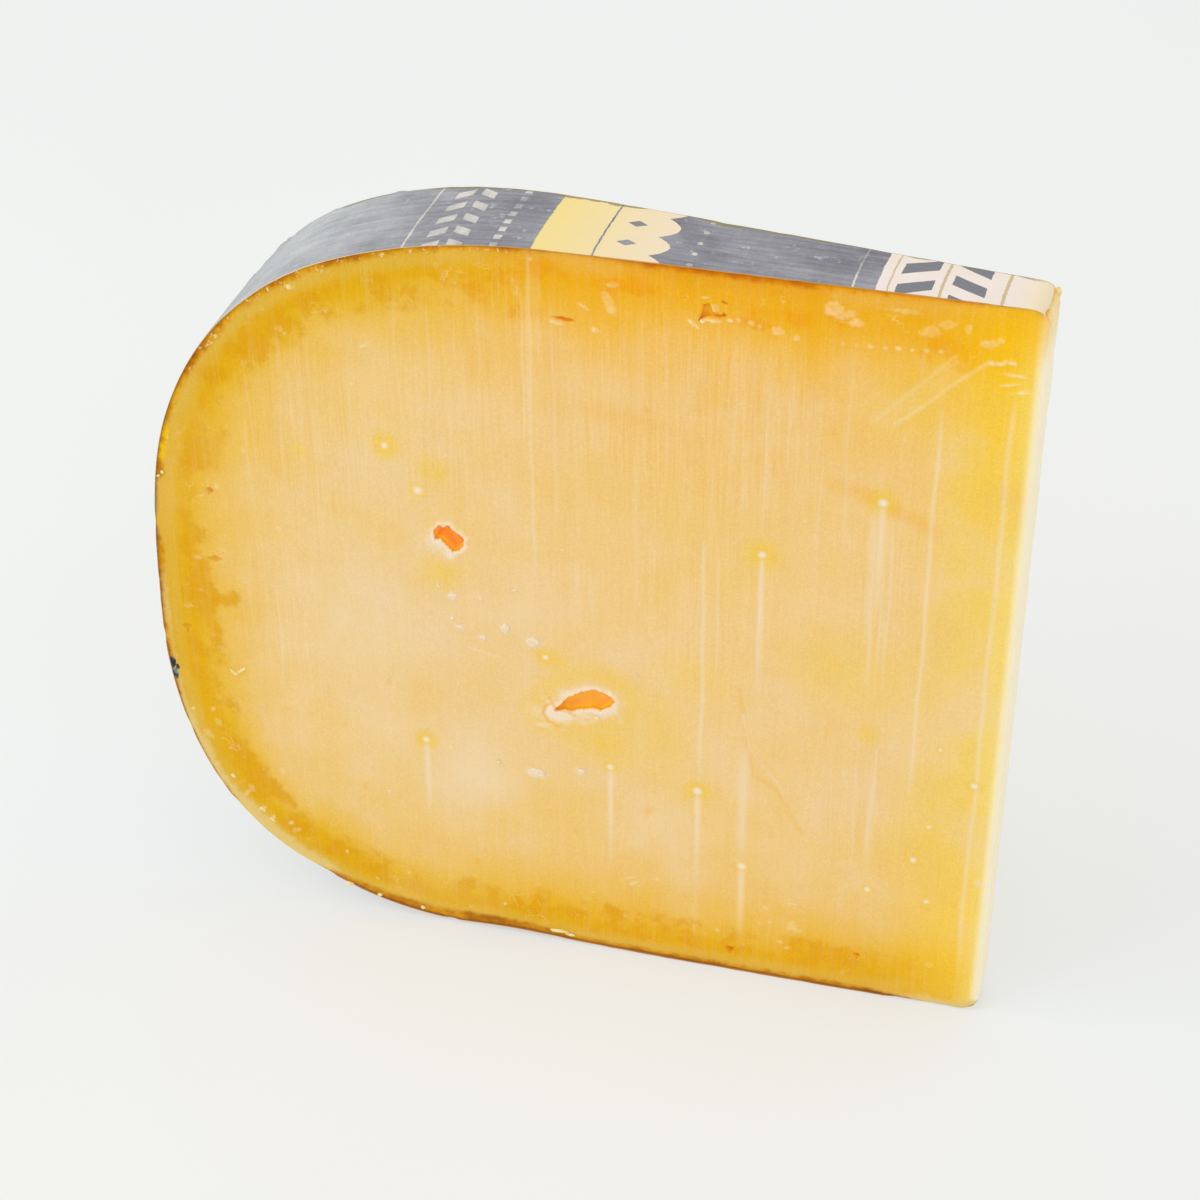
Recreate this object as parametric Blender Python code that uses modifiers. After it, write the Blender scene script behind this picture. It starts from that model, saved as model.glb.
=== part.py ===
"""A thin wedge cut from a wheel of aged hard cheese, standing on the wheel's flat underside.

The paste and its coat are turned about the wheel's axis and share its section. One knife
block cuts the wedge out of both: two planes that meet at the axis and a third across the
tip. The hollows in the cut faces are eyes and cracks that the knife laid open.

Metres, +Z up. The rim is toward -X, the wedge is cut the same on both sides of the XZ
plane, and the origin is under the middle of its box.
"""

import math

import bmesh
import bpy
from mathutils import Vector

# The wheel's section, outside the coat.
WHEEL_RADIUS = 0.170
WHEEL_HEIGHT = 0.110
WIDEST_HEIGHT = 0.047  # of the rim, above the underside
TOP_RUN = 0.060  # how far in from the rim the top turns flat
TOP_SQUARENESS = 2.7  # 2 is an ellipse, and more is squarer
FOOT_RUN = 0.0455
FOOT_SQUARENESS = 2.4

# The wedge.
WEDGE_ANGLE = math.radians(6.7)
TIP_DISTANCE = 0.057  # from the wheel's axis to the cut across the tip

# The coat, and the room that is left between it and the paste.
COAT_THICKNESS = 0.0005
COAT_GAP = 0.0003

# Hollows in the cut faces. A face is read from outside: height is above the underside,
# and a slant lifts the hollow's tip end on the front face and its rim end on the back.
FRONT, BACK = -1, 1  # the side in Y
HOLLOWS = (
    # name, side, distance from the axis, height, half width, half height, depth, slant
    ("round_eye", FRONT, 0.1288, 0.0663, 0.0023, 0.0020, 0.0045, -20),
    ("long_eye", FRONT, 0.1110, 0.0433, 0.0041, 0.0016, 0.0055, 23),
    ("top_crack", FRONT, 0.0956, 0.1030, 0.0026, 0.0008, 0.0020, 21),
    ("upper_rim_pit", FRONT, 0.1615, 0.0683, 0.0009, 0.0006, 0.0010, 0),
    ("lower_rim_pit", FRONT, 0.1618, 0.0575, 0.0010, 0.0006, 0.0010, 15),
    ("foot_pit", FRONT, 0.0909, 0.0040, 0.0008, 0.0007, 0.0012, 0),
    ("back_eye", BACK, 0.1240, 0.0520, 0.0034, 0.0016, 0.0045, 14),
    ("back_pit", BACK, 0.0880, 0.0790, 0.0012, 0.0009, 0.0012, -10),
)

# How finely the curves are divided.
SHOULDER_STEPS = 22
WHEEL_STEPS = 180
HOLLOW_STEPS = 16
HOLLOW_LIFT = 0.15  # of its depth: a hollow's middle stands this far outside the face
SMOOTH_BELOW = math.radians(25)

KNIFE_OVERSHOOT = 0.02
AXIS_MERGE = 0.0001

PASTE_COLOUR = (0.82, 0.56, 0.20, 1.0)
COAT_COLOUR = (0.20, 0.20, 0.21, 1.0)


def clear_scene():
    for obj in list(bpy.data.objects):
        bpy.data.objects.remove(obj, do_unlink=True)


def new_collection(name):
    collection = bpy.data.collections.new(name)
    bpy.context.scene.collection.children.link(collection)
    return collection


def add_object(name, mesh, collection, parent):
    obj = bpy.data.objects.new(name, mesh)
    obj.parent = parent
    collection.objects.link(obj)
    return obj


def mesh_from(name, bm):
    mesh = bpy.data.meshes.new(name)
    bm.to_mesh(mesh)
    bm.free()
    return mesh


def material(name, colour, roughness):
    made = bpy.data.materials.new(name)
    made.use_nodes = True
    shader = made.node_tree.nodes["Principled BSDF"]
    shader.inputs["Base Color"].default_value = colour
    shader.inputs["Roughness"].default_value = roughness
    shader.inputs["Metallic"].default_value = 0.0
    return made


def shoulder(run, rise, squareness):
    """(across, up) from the end of the flat, where across is 0, to the widest point."""
    points = []
    for step in range(SHOULDER_STEPS + 1):
        angle = math.pi / 2 * step / SHOULDER_STEPS
        across, up = math.sin(angle), math.cos(angle)
        reach = (across**squareness + up**squareness) ** (-1 / squareness)
        points.append((run * across * reach, rise * up * reach))
    return points


def wheel_outline():
    """(radius, height) from the axis over the top, down the rim and back to the axis."""
    top = shoulder(TOP_RUN, WHEEL_HEIGHT - WIDEST_HEIGHT, TOP_SQUARENESS)
    foot = shoulder(FOOT_RUN, WIDEST_HEIGHT, FOOT_SQUARENESS)
    outline = [(0.0, WHEEL_HEIGHT)]
    outline += [(WHEEL_RADIUS - TOP_RUN + x, WIDEST_HEIGHT + z) for x, z in top]
    outline += [(WHEEL_RADIUS - FOOT_RUN + x, WIDEST_HEIGHT - z) for x, z in reversed(foot[:-1])]
    outline.append((0.0, 0.0))
    return outline


def inset(outline, distance):
    """The outline moved into the wheel by distance, square to itself at every point."""
    last = len(outline) - 1
    moved = []
    for i, point in enumerate(outline):
        before, after = outline[max(i - 1, 0)], outline[min(i + 1, last)]
        along = (Vector(after) - Vector(before)).normalized()
        inward = Vector((along.y, -along.x))
        moved.append(tuple(Vector(point) + distance * inward))
    return moved


def turned(name, outline, collection, parent):
    """The outline turned a full circle about the parent's Z axis."""
    bm = bmesh.new()
    chain = [bm.verts.new((radius, 0, height)) for radius, height in outline]
    for ends in zip(chain, chain[1:]):
        bm.edges.new(ends)
    obj = add_object(name, mesh_from(name, bm), collection, parent)
    screw = obj.modifiers.new("turn", "SCREW")
    screw.axis = "Z"
    screw.angle = 2 * math.pi
    screw.steps = screw.render_steps = WHEEL_STEPS
    screw.use_merge_vertices = True
    screw.merge_threshold = AXIS_MERGE
    return obj


def as_cutter(obj):
    obj.hide_render = True
    obj.display_type = "WIRE"
    return obj


def knife_block(collection, parent):
    """The room between the three cuts: a cube drawn out past the rim and tapered to the axis."""
    reach = WHEEL_RADIUS + KNIFE_OVERSHOOT
    bm = bmesh.new()
    bmesh.ops.create_cube(bm, size=2)
    for vert in bm.verts:
        distance = reach if vert.co.x < 0 else TIP_DISTANCE
        height = WHEEL_HEIGHT + KNIFE_OVERSHOOT if vert.co.z > 0 else -KNIFE_OVERSHOOT
        vert.co = (-distance, vert.co.y * distance * math.tan(WEDGE_ANGLE / 2), height)
    return as_cutter(add_object("knife_block", mesh_from("knife_block", bm), collection, parent))


def hollow(name, side, distance, height, size, slant, collection, parent):
    """An ellipsoid centred just outside a cut face. Its local Y points into the paste."""
    bm = bmesh.new()
    bmesh.ops.create_uvsphere(bm, u_segments=HOLLOW_STEPS, v_segments=HOLLOW_STEPS // 2, radius=1)
    bmesh.ops.scale(bm, vec=size, verts=bm.verts)
    obj = as_cutter(add_object(name, mesh_from(name, bm), collection, parent))
    half = WEDGE_ANGLE / 2
    turn = half if side == FRONT else math.pi - half
    on_face = Vector((-distance * math.cos(half), side * distance * math.sin(half), height))
    inward = Vector((-math.sin(turn), math.cos(turn), 0))
    obj.location = on_face - HOLLOW_LIFT * size[1] * inward
    obj.rotation_euler = (0, -math.radians(slant), turn)
    return obj


def cut(obj, cutter, operation):
    boolean = obj.modifiers.new(cutter.name, "BOOLEAN")
    boolean.operation = operation
    boolean.object = cutter


def settle(obj):
    """Keeps the cut shape as the object's own mesh, smooth except along the cuts."""
    graph = bpy.context.evaluated_depsgraph_get()
    mesh = bpy.data.meshes.new_from_object(obj.evaluated_get(graph))
    obj.modifiers.clear()
    obj.data = mesh
    mesh.shade_smooth()
    mesh.set_sharp_from_angle(angle=SMOOTH_BELOW)


def make_paste(knife, hollows, collection, parent):
    paste = turned("paste", inset(wheel_outline(), COAT_THICKNESS + COAT_GAP), collection, parent)
    paste.data.materials.append(material("aged paste", PASTE_COLOUR, 0.5))
    cut(paste, knife, "INTERSECT")
    for each in hollows:
        cut(paste, each, "DIFFERENCE")
    return paste


def make_coat(knife, collection, parent):
    coat = turned("coat", wheel_outline(), collection, parent)
    coat.data.materials.append(material("dark coat", COAT_COLOUR, 0.45))
    shell = coat.modifiers.new("thickness", "SOLIDIFY")
    shell.thickness = COAT_THICKNESS
    shell.offset = -1
    shell.use_even_offset = True
    cut(coat, knife, "INTERSECT")
    return coat


def main():
    clear_scene()
    parts = new_collection("cheese_wedge")
    cutters = new_collection("cutters")

    axis = add_object("wheel_axis", None, parts, None)
    axis.location.x = (WHEEL_RADIUS + TIP_DISTANCE) / 2

    knife = knife_block(cutters, axis)
    hollows = []
    for name, side, distance, height, half_width, half_height, depth, slant in HOLLOWS:
        size = (half_width, depth, half_height)
        hollows.append(hollow(name, side, distance, height, size, slant, cutters, axis))

    paste = make_paste(knife, hollows, parts, axis)
    coat = make_coat(knife, parts, axis)
    bpy.context.view_layer.update()
    settle(paste)
    settle(coat)


main()
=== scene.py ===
"""The looks of a wedge cut from a tall round of aged cheese: knife-cut paste, its printed dark
coat, crystals, crumbs and a flake of coat, on a pale floor in soft light.

Shapes are worked out in millimetres. A cut face is measured from the tip of the wedge
(along) and from the underside (up); into is the depth behind the face.
"""

import math
from functools import partial

import bmesh
import bpy
import numpy as np
from mathutils import Matrix, Vector, geometry, kdtree


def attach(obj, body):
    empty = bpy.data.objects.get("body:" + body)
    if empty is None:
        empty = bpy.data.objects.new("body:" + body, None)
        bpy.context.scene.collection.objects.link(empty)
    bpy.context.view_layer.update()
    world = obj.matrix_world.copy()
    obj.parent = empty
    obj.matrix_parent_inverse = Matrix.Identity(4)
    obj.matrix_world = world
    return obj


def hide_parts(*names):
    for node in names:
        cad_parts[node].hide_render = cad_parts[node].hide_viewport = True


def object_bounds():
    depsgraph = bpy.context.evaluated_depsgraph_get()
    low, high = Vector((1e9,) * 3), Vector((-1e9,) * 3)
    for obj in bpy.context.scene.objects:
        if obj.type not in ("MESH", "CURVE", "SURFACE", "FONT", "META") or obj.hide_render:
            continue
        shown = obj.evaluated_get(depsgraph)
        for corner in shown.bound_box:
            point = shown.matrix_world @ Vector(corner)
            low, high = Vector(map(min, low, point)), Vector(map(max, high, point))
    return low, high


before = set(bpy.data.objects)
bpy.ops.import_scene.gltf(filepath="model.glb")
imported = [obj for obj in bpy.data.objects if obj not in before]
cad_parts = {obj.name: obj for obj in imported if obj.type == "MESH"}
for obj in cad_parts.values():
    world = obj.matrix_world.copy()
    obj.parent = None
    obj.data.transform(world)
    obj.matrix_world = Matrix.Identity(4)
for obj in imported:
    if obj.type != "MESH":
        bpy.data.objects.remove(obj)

CAD_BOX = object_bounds()
MM = 0.001

# The wheel's section and the cut, in millimetres, as the solids have them.
TIP_RADIUS = 57.0
AXIS_X = CAD_BOX[1][0] / MM + TIP_RADIUS
WHEEL_RADIUS = AXIS_X - CAD_BOX[0][0] / MM
WHEEL_HEIGHT = CAD_BOX[1][2] / MM
WIDEST_HEIGHT = 47.0
TOP_RUN, TOP_SQUARENESS = 60.0, 2.7
FOOT_RUN, FOOT_SQUARENESS = 45.5, 2.4
HALF_ANGLE = math.radians(6.7 / 2)
TIP_EDGE = TIP_RADIUS / math.cos(HALF_ANGLE)  # from the axis to where a face meets the tip's cut
TIP_CORNERS = ((WHEEL_HEIGHT, 2.3), (0.0, 2.1))  # where the tip's corners are, and their radii
FRONT, BACK = -1, 1
FRONT_SEED, BACK_SEED = 20, 70

COAT_THICKNESS = 0.16
# The paste starts a little under the coat, so the two skins never touch.
PASTE_INSET = COAT_THICKNESS + 0.03

MOTTLE_CELLS = 97  # a random field repeats after this many lumps


# ---------------------------------------------------------------- colours and nodes


def linear(hex_value):
    """An sRGB hex value as the linear colour that a shader takes."""
    channels = [int(hex_value[i : i + 2], 16) / 255 for i in (0, 2, 4)]
    curve = [c / 12.92 if c <= 0.04045 else ((c + 0.055) / 1.055) ** 2.4 for c in channels]
    return (*curve, 1.0)


MODES = {
    "Math": "operation",
    "VectorMath": "operation",
    "Mix": "data_type",
    "MapRange": "interpolation_type",
    "TexVoronoi": "feature",
    "Attribute": "attribute_name",
}


def add(tree, kind, *values, stops=None, **named):
    """Adds one node and fills its open sockets in order, and the named ones by name. Its
    mode follows its kind after a space. Hex text is a colour, a node stands for its first
    open output, and stops are a ramp's."""
    kind, _, mode = kind.partition(" ")
    made = tree.nodes.new("ShaderNode" + kind)
    if mode:
        setattr(made, MODES[kind], mode)
    usable = [socket for socket in made.inputs if socket.enabled]
    by_name = [(next(s for s in usable if s.name == name), value) for name, value in named.items()]
    for socket, value in [*zip(usable, values), *by_name]:
        if isinstance(value, bpy.types.Node):
            value = next(s for s in value.outputs if s.enabled)
        if isinstance(value, bpy.types.NodeSocket):
            tree.links.new(value, socket)
        else:
            socket.default_value = linear(value) if isinstance(value, str) else value
    if stops:
        ramp = made.color_ramp.elements
        while len(ramp) < len(stops):
            ramp.new(1.0)
        for element, (at, value) in zip(ramp, stops):
            element.position = at
            element.color = linear(value) if isinstance(value, str) else (value, value, value, 1)
    return made


def join(tree, node, shader, socket):
    """Links a node's first open output to a shader's socket."""
    tree.links.new(next(s for s in node.outputs if s.enabled), shader.inputs[socket])


def new_material(name, **settings):
    """A material with one Principled shader. Even values sit on the shader's own sockets."""
    made = bpy.data.materials.new(name)
    made.use_nodes = True
    shader = made.node_tree.nodes["Principled BSDF"]
    for socket, value in settings.items():
        shader.inputs[socket.replace("_", " ")].default_value = value
    return made, made.node_tree, shader


# ---------------------------------------------------------------- fields over a cut face


def smooth(low, high, value):
    """0 below low and 1 above high, with a soft step between; also falls if low > high."""
    t = np.clip((value - low) / (high - low), 0, 1)
    return t * t * (3 - 2 * t)


def mottle(along, up, size, seed):
    """A soft random field from -1 to 1. Its lumps are about size mm, or (along, up) mm."""
    width, height = size if isinstance(size, tuple) else (size, size)
    table = np.random.default_rng(seed).uniform(-1, 1, (MOTTLE_CELLS, MOTTLE_CELLS))
    x, y = np.asarray(along) / width, np.asarray(up) / height
    i, j = np.floor(x).astype(int), np.floor(y).astype(int)
    fx, fy = smooth(0, 1, x - i), smooth(0, 1, y - j)
    i, j, right, above = (cell % MOTTLE_CELLS for cell in (i, j, i + 1, j + 1))
    low = table[i, j] * (1 - fx) + table[right, j] * fx
    high = table[i, above] * (1 - fx) + table[right, above] * fx
    return low * (1 - fy) + high * fy


def spot(along, up, at, size, turn=0.0):
    """1 at the middle of a soft oval and 0 beyond its half sizes; turn lifts its tip end."""
    width, height = size if isinstance(size, tuple) else (size, size)
    dx, dy = along - at[0], up - at[1]
    c, s = math.cos(math.radians(turn)), math.sin(math.radians(turn))
    reach = np.hypot((dx * c - dy * s) / width, (dx * s + dy * c) / height)
    return smooth(1, 0, reach)


def stroke_distance(along, up, line):
    """Millimetres to a drawn line."""
    points = np.stack([along, up], -1)
    best = np.full(len(points), 1e9)
    for a, b in zip(line, line[1:]):
        a, b = np.array(a), np.array(b)
        t = np.clip((points - a) @ (b - a) / max((b - a) @ (b - a), 1e-9), 0, 1)
        best = np.minimum(best, np.linalg.norm(points - a - t[:, None] * (b - a), axis=1))
    return best


def inside_distance(along, up, outline):
    """Millimetres to a closed outline, positive inside it."""
    gap = stroke_distance(along, up, [*outline, outline[0]])
    crossings = np.zeros(len(along), bool)
    for (x0, y0), (x1, y1) in zip(outline, [*outline[1:], outline[0]]):
        if y0 != y1:
            meets = (y0 > up) != (y1 > up)
            crossings ^= meets & (along < x0 + (up - y0) * (x1 - x0) / (y1 - y0))
    return np.where(crossings, gap, -gap)


# ---------------------------------------------------------------- the wheel's section


def shoulder(run, rise, squareness):
    """(across, up) from the end of the flat to the widest point, as the solid is turned."""
    angle = np.linspace(0, math.pi / 2, 400)
    across, up = np.sin(angle), np.cos(angle)
    reach = (across**squareness + up**squareness) ** (-1 / squareness)
    return np.stack([run * across * reach, rise * up * reach], -1)


def evenly(points, spacing):
    """The same open line with its points about spacing mm apart."""
    run = np.concatenate([[0], np.cumsum(np.linalg.norm(np.diff(points, axis=0), axis=1))])
    at = np.linspace(0, run[-1], max(2, round(run[-1] / spacing) + 1))
    return np.stack([np.interp(at, run, points[:, k]) for k in (0, 1)], -1), at


def section(inset, spacing):
    """The section from the tip's upper edge over the rim and back under to the tip, moved
    into the wheel by inset: points (mm from the axis, up) and how far round each one is."""
    top = shoulder(TOP_RUN, WHEEL_HEIGHT - WIDEST_HEIGHT, TOP_SQUARENESS)
    foot = shoulder(FOOT_RUN, WIDEST_HEIGHT, FOOT_SQUARENESS)
    over = top + [WHEEL_RADIUS - TOP_RUN, WIDEST_HEIGHT]
    under = foot[::-1] * [1, -1] + [WHEEL_RADIUS - FOOT_RUN, WIDEST_HEIGHT]
    ends = [[[TIP_EDGE, WHEEL_HEIGHT]], [[TIP_EDGE, 0.0]]]
    line, run = evenly(np.concatenate([ends[0], over, under[1:], ends[1]]), spacing)
    ahead = np.gradient(line, axis=0)
    ahead /= np.linalg.norm(ahead, axis=1, keepdims=True)
    inward = np.stack([ahead[:, 1], -ahead[:, 0]], -1)
    inward[[0, -1]] = [[0, -1], [0, 1]]
    return worn_corners(line + inward * (inset + hand_waves(run))[:, None], inset), run


def worn_corners(points, inset):
    """The same points (mm from the axis, up) with the tip's two corners worn round."""
    points = points.copy()
    for height, radius in TIP_CORNERS:
        centre = np.array([TIP_EDGE + radius, abs(height - radius)])
        out = points - centre
        beyond = (out[:, 0] < 0) & (out[:, 1] * (height - radius) > 0)
        out = out[beyond]
        length = np.linalg.norm(out, axis=1)
        reach = radius - inset * np.abs(out[:, 1]) / length
        points[beyond] = centre + out * (reach / length)[:, None]
    return points


def hand_waves(run):
    """How far the wheel's skin lies inside its true section: the mould and the shelf leave
    shallow waves, deepest low on the rim. Always at least 0, so nothing grows."""
    foot = 0.55 * np.exp(-(((run - 232) / 7) ** 2)) + 0.25 * np.exp(-(((run - 205) / 5) ** 2))
    rim = smooth(60, 90, run) * smooth(280, 255, run)
    return foot + rim * (0.16 + 0.08 * np.sin(run / 5.3) + 0.08 * np.sin(run / 11.7 + 1))


def on_face(side, along, up, into):
    """Places on a cut face in metres, in the row's frame."""
    across = np.asarray(along) + TIP_EDGE
    x = AXIS_X - across * math.cos(HALF_ANGLE) - into * math.sin(HALF_ANGLE)
    y = side * (across * math.sin(HALF_ANGLE) - into * math.cos(HALF_ANGLE))
    return np.stack([x, y, np.asarray(up) + 0 * x], -1) * MM


# ---------------------------------------------------------------- what the knife laid open

# Outlines (along, up) of the eyes, cracks and pits of the shown face.
ROUND_EYE = [
    (74.1, 67.5), (73.1, 68.6), (72.8, 68.1), (72.3, 68.5), (72.0, 68.7), (71.6, 68.1),
    (70.9, 67.5), (70.6, 67.5), (70.0, 66.8), (70.1, 65.7), (70.7, 64.9), (71.6, 64.5),
    (72.3, 65.2), (73.2, 66.2), (73.9, 66.1),
]
LONG_EYE = [
    (58.9, 41.1), (58.3, 41.8), (57.6, 42.7), (56.9, 43.7), (55.2, 44.9), (53.5, 45.7),
    (52.1, 45.5), (50.8, 44.8), (50.5, 44.1), (51.1, 43.1), (52.4, 42.2), (53.4, 42.4),
    (54.5, 42.1), (55.4, 41.8), (56.4, 41.3), (57.3, 41.5), (58.1, 41.1),
]
TOP_CRACK = [
    (40.5, 102.8), (40.1, 104.0), (39.9, 105.3), (39.1, 105.5), (38.7, 104.4), (37.8, 104.1),
    (37.4, 104.5), (37.0, 103.9), (37.9, 103.6), (39.0, 103.6), (39.7, 103.4),
]
TOP_SLIVER = [(37.9, 106.1), (37.2, 105.9), (36.8, 105.5), (37.6, 105.6)]
NEAR_CRACK = [(58.4, 100.9), (57.0, 101.2), (55.6, 101.0), (55.0, 100.6), (56.4, 100.5)]
UPPER_RIM_PIT = [(104.7, 68.8), (103.9, 69.2), (103.4, 68.8), (103.5, 68.1), (104.1, 67.9)]
LOWER_RIM_PIT = [
    (105.4, 57.8), (104.8, 58.0), (104.2, 58.4), (103.8, 58.2), (103.0, 57.8), (103.6, 57.4),
    (104.2, 57.0), (104.9, 57.3),
]
RIM_CRACK = [(109.9, 46.0), (109.2, 46.4), (108.4, 46.1), (108.9, 45.6), (109.2, 44.7), (109.5, 45.5)]
FOOT_PIT = [(35.1, 4.2), (34.4, 4.3), (33.7, 4.3), (33.8, 3.5), (34.3, 2.9), (34.7, 3.4)]
FOOT_PIT_TIP = [(17.4, 7.1), (16.6, 7.2), (16.3, 6.6), (16.9, 5.9)]
OPENINGS = (
    # outline, depth, wall, lip, how orange the inside is (its painted glow)
    (ROUND_EYE, 1.25, 0.5, 0.10, 1.0),
    (LONG_EYE, 1.3, 0.6, 0.10, 0.8),
    (TOP_CRACK, 0.7, 0.4, 0.08, 0.45),
    (TOP_SLIVER, 0.5, 0.3, 0.05, 0.4),
    (NEAR_CRACK, 0.5, 0.3, 0.08, 0.4),
    (UPPER_RIM_PIT, 0.5, 0.4, 0.08, 0.16),
    (LOWER_RIM_PIT, 0.4, 0.4, 0.08, 0.16),
    (RIM_CRACK, 0.4, 0.35, 0.08, 0.14),
    (FOOT_PIT, 0.6, 0.35, 0.05, 0.25),
    (FOOT_PIT_TIP, 0.4, 0.35, 0.05, 0.25),
)
BACK_EYE = [
    (70.3, 51.2), (69.2, 52.4), (67.6, 53.1), (66.0, 53.4), (64.4, 53.0), (63.7, 52.1),
    (64.6, 51.3), (65.9, 51.2), (67.2, 50.6), (68.7, 50.4), (69.8, 50.6),
]
BACK_PIT = [(32.1, 79.2), (31.2, 79.9), (30.1, 79.6), (29.8, 78.9), (30.7, 78.2), (31.8, 78.5)]
BACK_CRACK = [(47.8, 101.7), (46.0, 102.9), (44.2, 102.5), (43.1, 103.1), (44.5, 101.9), (46.2, 102.1)]
BACK_OPENINGS = (
    (BACK_EYE, 1.4, 0.6, 0.10, 0.85),
    (BACK_PIT, 0.8, 0.4, 0.08, 0.4),
    (BACK_CRACK, 0.6, 0.35, 0.09, 0.4),
)

# Pinhead eyes closed just behind the face: a pale dot in a moist yellow halo, and the
# length of the pale drag that the knife pulled down from it.
PINHEADS = (
    # along, up, dot radius, halo radius, drag length
    (79.9, 79.4, 0.5, 2.2, 0), (73.8, 76.8, 0.0, 2.6, 0), (75.8, 73.3, 0.7, 1.2, 0),
    (31.9, 70.9, 0.55, 2.8, 26), (59.7, 49.8, 0.45, 1.6, 0), (39.3, 31.3, 0.7, 2.0, 20),
    (33.1, 19.4, 0.7, 0.9, 16), (76.5, 32.7, 0.55, 1.7, 15), (51.1, 33.0, 0.55, 1.3, 19),
    (17.5, 81.0, 0.65, 2.3, 22), (3.4, 39.5, 0.55, 1.2, 0), (10.4, 25.4, 0.5, 1.1, 0),
    (8.1, 44.6, 0.3, 0.6, 0), (8.7, 31.5, 0.35, 0.6, 0), (8.2, 18.5, 0.4, 0.7, 0),
    (16.1, 19.0, 0.45, 0.9, 0), (17.3, 45.2, 0.0, 1.8, 0), (91.2, 76.9, 0.0, 1.3, 0),
)
# Pale lines that the knife's edge dragged down the face.
DRAGS = (
    # along, upper end, lower end, width, strength
    (60.9, 110, 62, 0.3, 0.55), (61.8, 105, 80, 0.25, 0.45), (58.0, 98, 70, 0.25, 0.35),
    (39.1, 73, 33, 0.45, 0.6), (37.3, 71, 48, 0.3, 0.35), (33.2, 40, 20, 1.0, 0.7),
    (31.9, 98, 74, 0.3, 0.3), (18.2, 80, 53, 0.4, 0.6), (17.0, 80, 54, 0.4, 0.5),
    (16.0, 78, 52, 0.3, 0.5), (11.5, 95, 36, 0.4, 0.65), (3.3, 98, 8, 0.5, 0.6),
    (16.5, 41, 22, 0.8, 0.5), (18.6, 41, 20, 0.4, 0.35), (96.1, 57, 38, 0.35, 0.4),
    (53.3, 64, 56, 0.25, 0.4), (55.5, 66, 58, 0.2, 0.35), (47.8, 84, 58, 0.25, 0.3),
    (70.3, 98, 90, 0.25, 0.3), (73.6, 101, 84, 0.25, 0.35), (77.7, 103, 86, 0.25, 0.3),
    (91.8, 89, 76, 0.3, 0.35), (39.4, 14, 5, 0.5, 0.3), (25.1, 88, 62, 0.25, 0.25),
    (44.1, 100, 78, 0.25, 0.3), (35.7, 98, 82, 0.25, 0.3), (29.1, 100, 80, 0.25, 0.3),
    (22.1, 101, 74, 0.25, 0.3), (14.0, 104, 96, 0.25, 0.3), (98.3, 82, 66, 0.25, 0.3),
)
# Scratches and closed seams: line, width, how pale, or how amber where it is below 0.
SCRATCHES = (
    ([(19.4, 92.2), (14.9, 97.2), (10.5, 102.4)], 0.5, 0.30),
    ([(16.8, 92.4), (13.9, 95.0), (9.8, 99.4), (6.6, 102.2)], 0.45, 0.42),
    ([(13.2, 99.3), (10.1, 101.8)], 0.35, 0.30),
    ([(18.0, 92.6), (14.2, 96.4), (10.1, 100.8)], 2.2, 0.14),
    ([(34.1, 49.5), (33.5, 44.9), (32.4, 38.6), (32.0, 35.5)], 0.5, -0.34),
    ([(32.0, 35.5), (29.9, 34.4), (28.2, 32.8), (26.8, 29.6), (25.2, 27.0)], 0.6, -0.38),
    ([(33.6, 45.5), (32.5, 39.5)], 0.3, 0.4),
    ([(31.0, 37.6), (28.5, 34.6), (27.6, 31.8)], 0.25, 0.3),
    ([(70.0, 49.6), (67.8, 49.1), (66.4, 48.8)], 0.25, 0.45),
    ([(23.3, 82.6), (21.4, 82.4), (19.0, 81.7)], 1.6, -0.42),
    ([(16.2, 80.4), (13.7, 79.3), (11.4, 77.9)], 1.6, -0.5),
    ([(53.2, 89.3), (47.5, 88.3), (40.6, 86.2)], 1.8, -0.24),
    ([(92.8, 99.1), (91.9, 99.0), (90.3, 100.1)], 0.35, -0.6),
    ([(105.6, 19.3), (104.5, 19.5), (103.3, 20.0)], 0.35, -0.8),
    ([(111.0, 38.7), (110.5, 38.1), (110.1, 37.5)], 0.4, -0.9),
    ([(58.2, 43.1), (59.8, 41.8), (60.2, 40.6), (59.5, 39.4), (58.0, 38.5)], 0.5, -0.7),
    ([(59.3, 43.2), (58.5, 41.7), (56.7, 41.2), (54.2, 40.4)], 0.45, -0.75),
)
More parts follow.
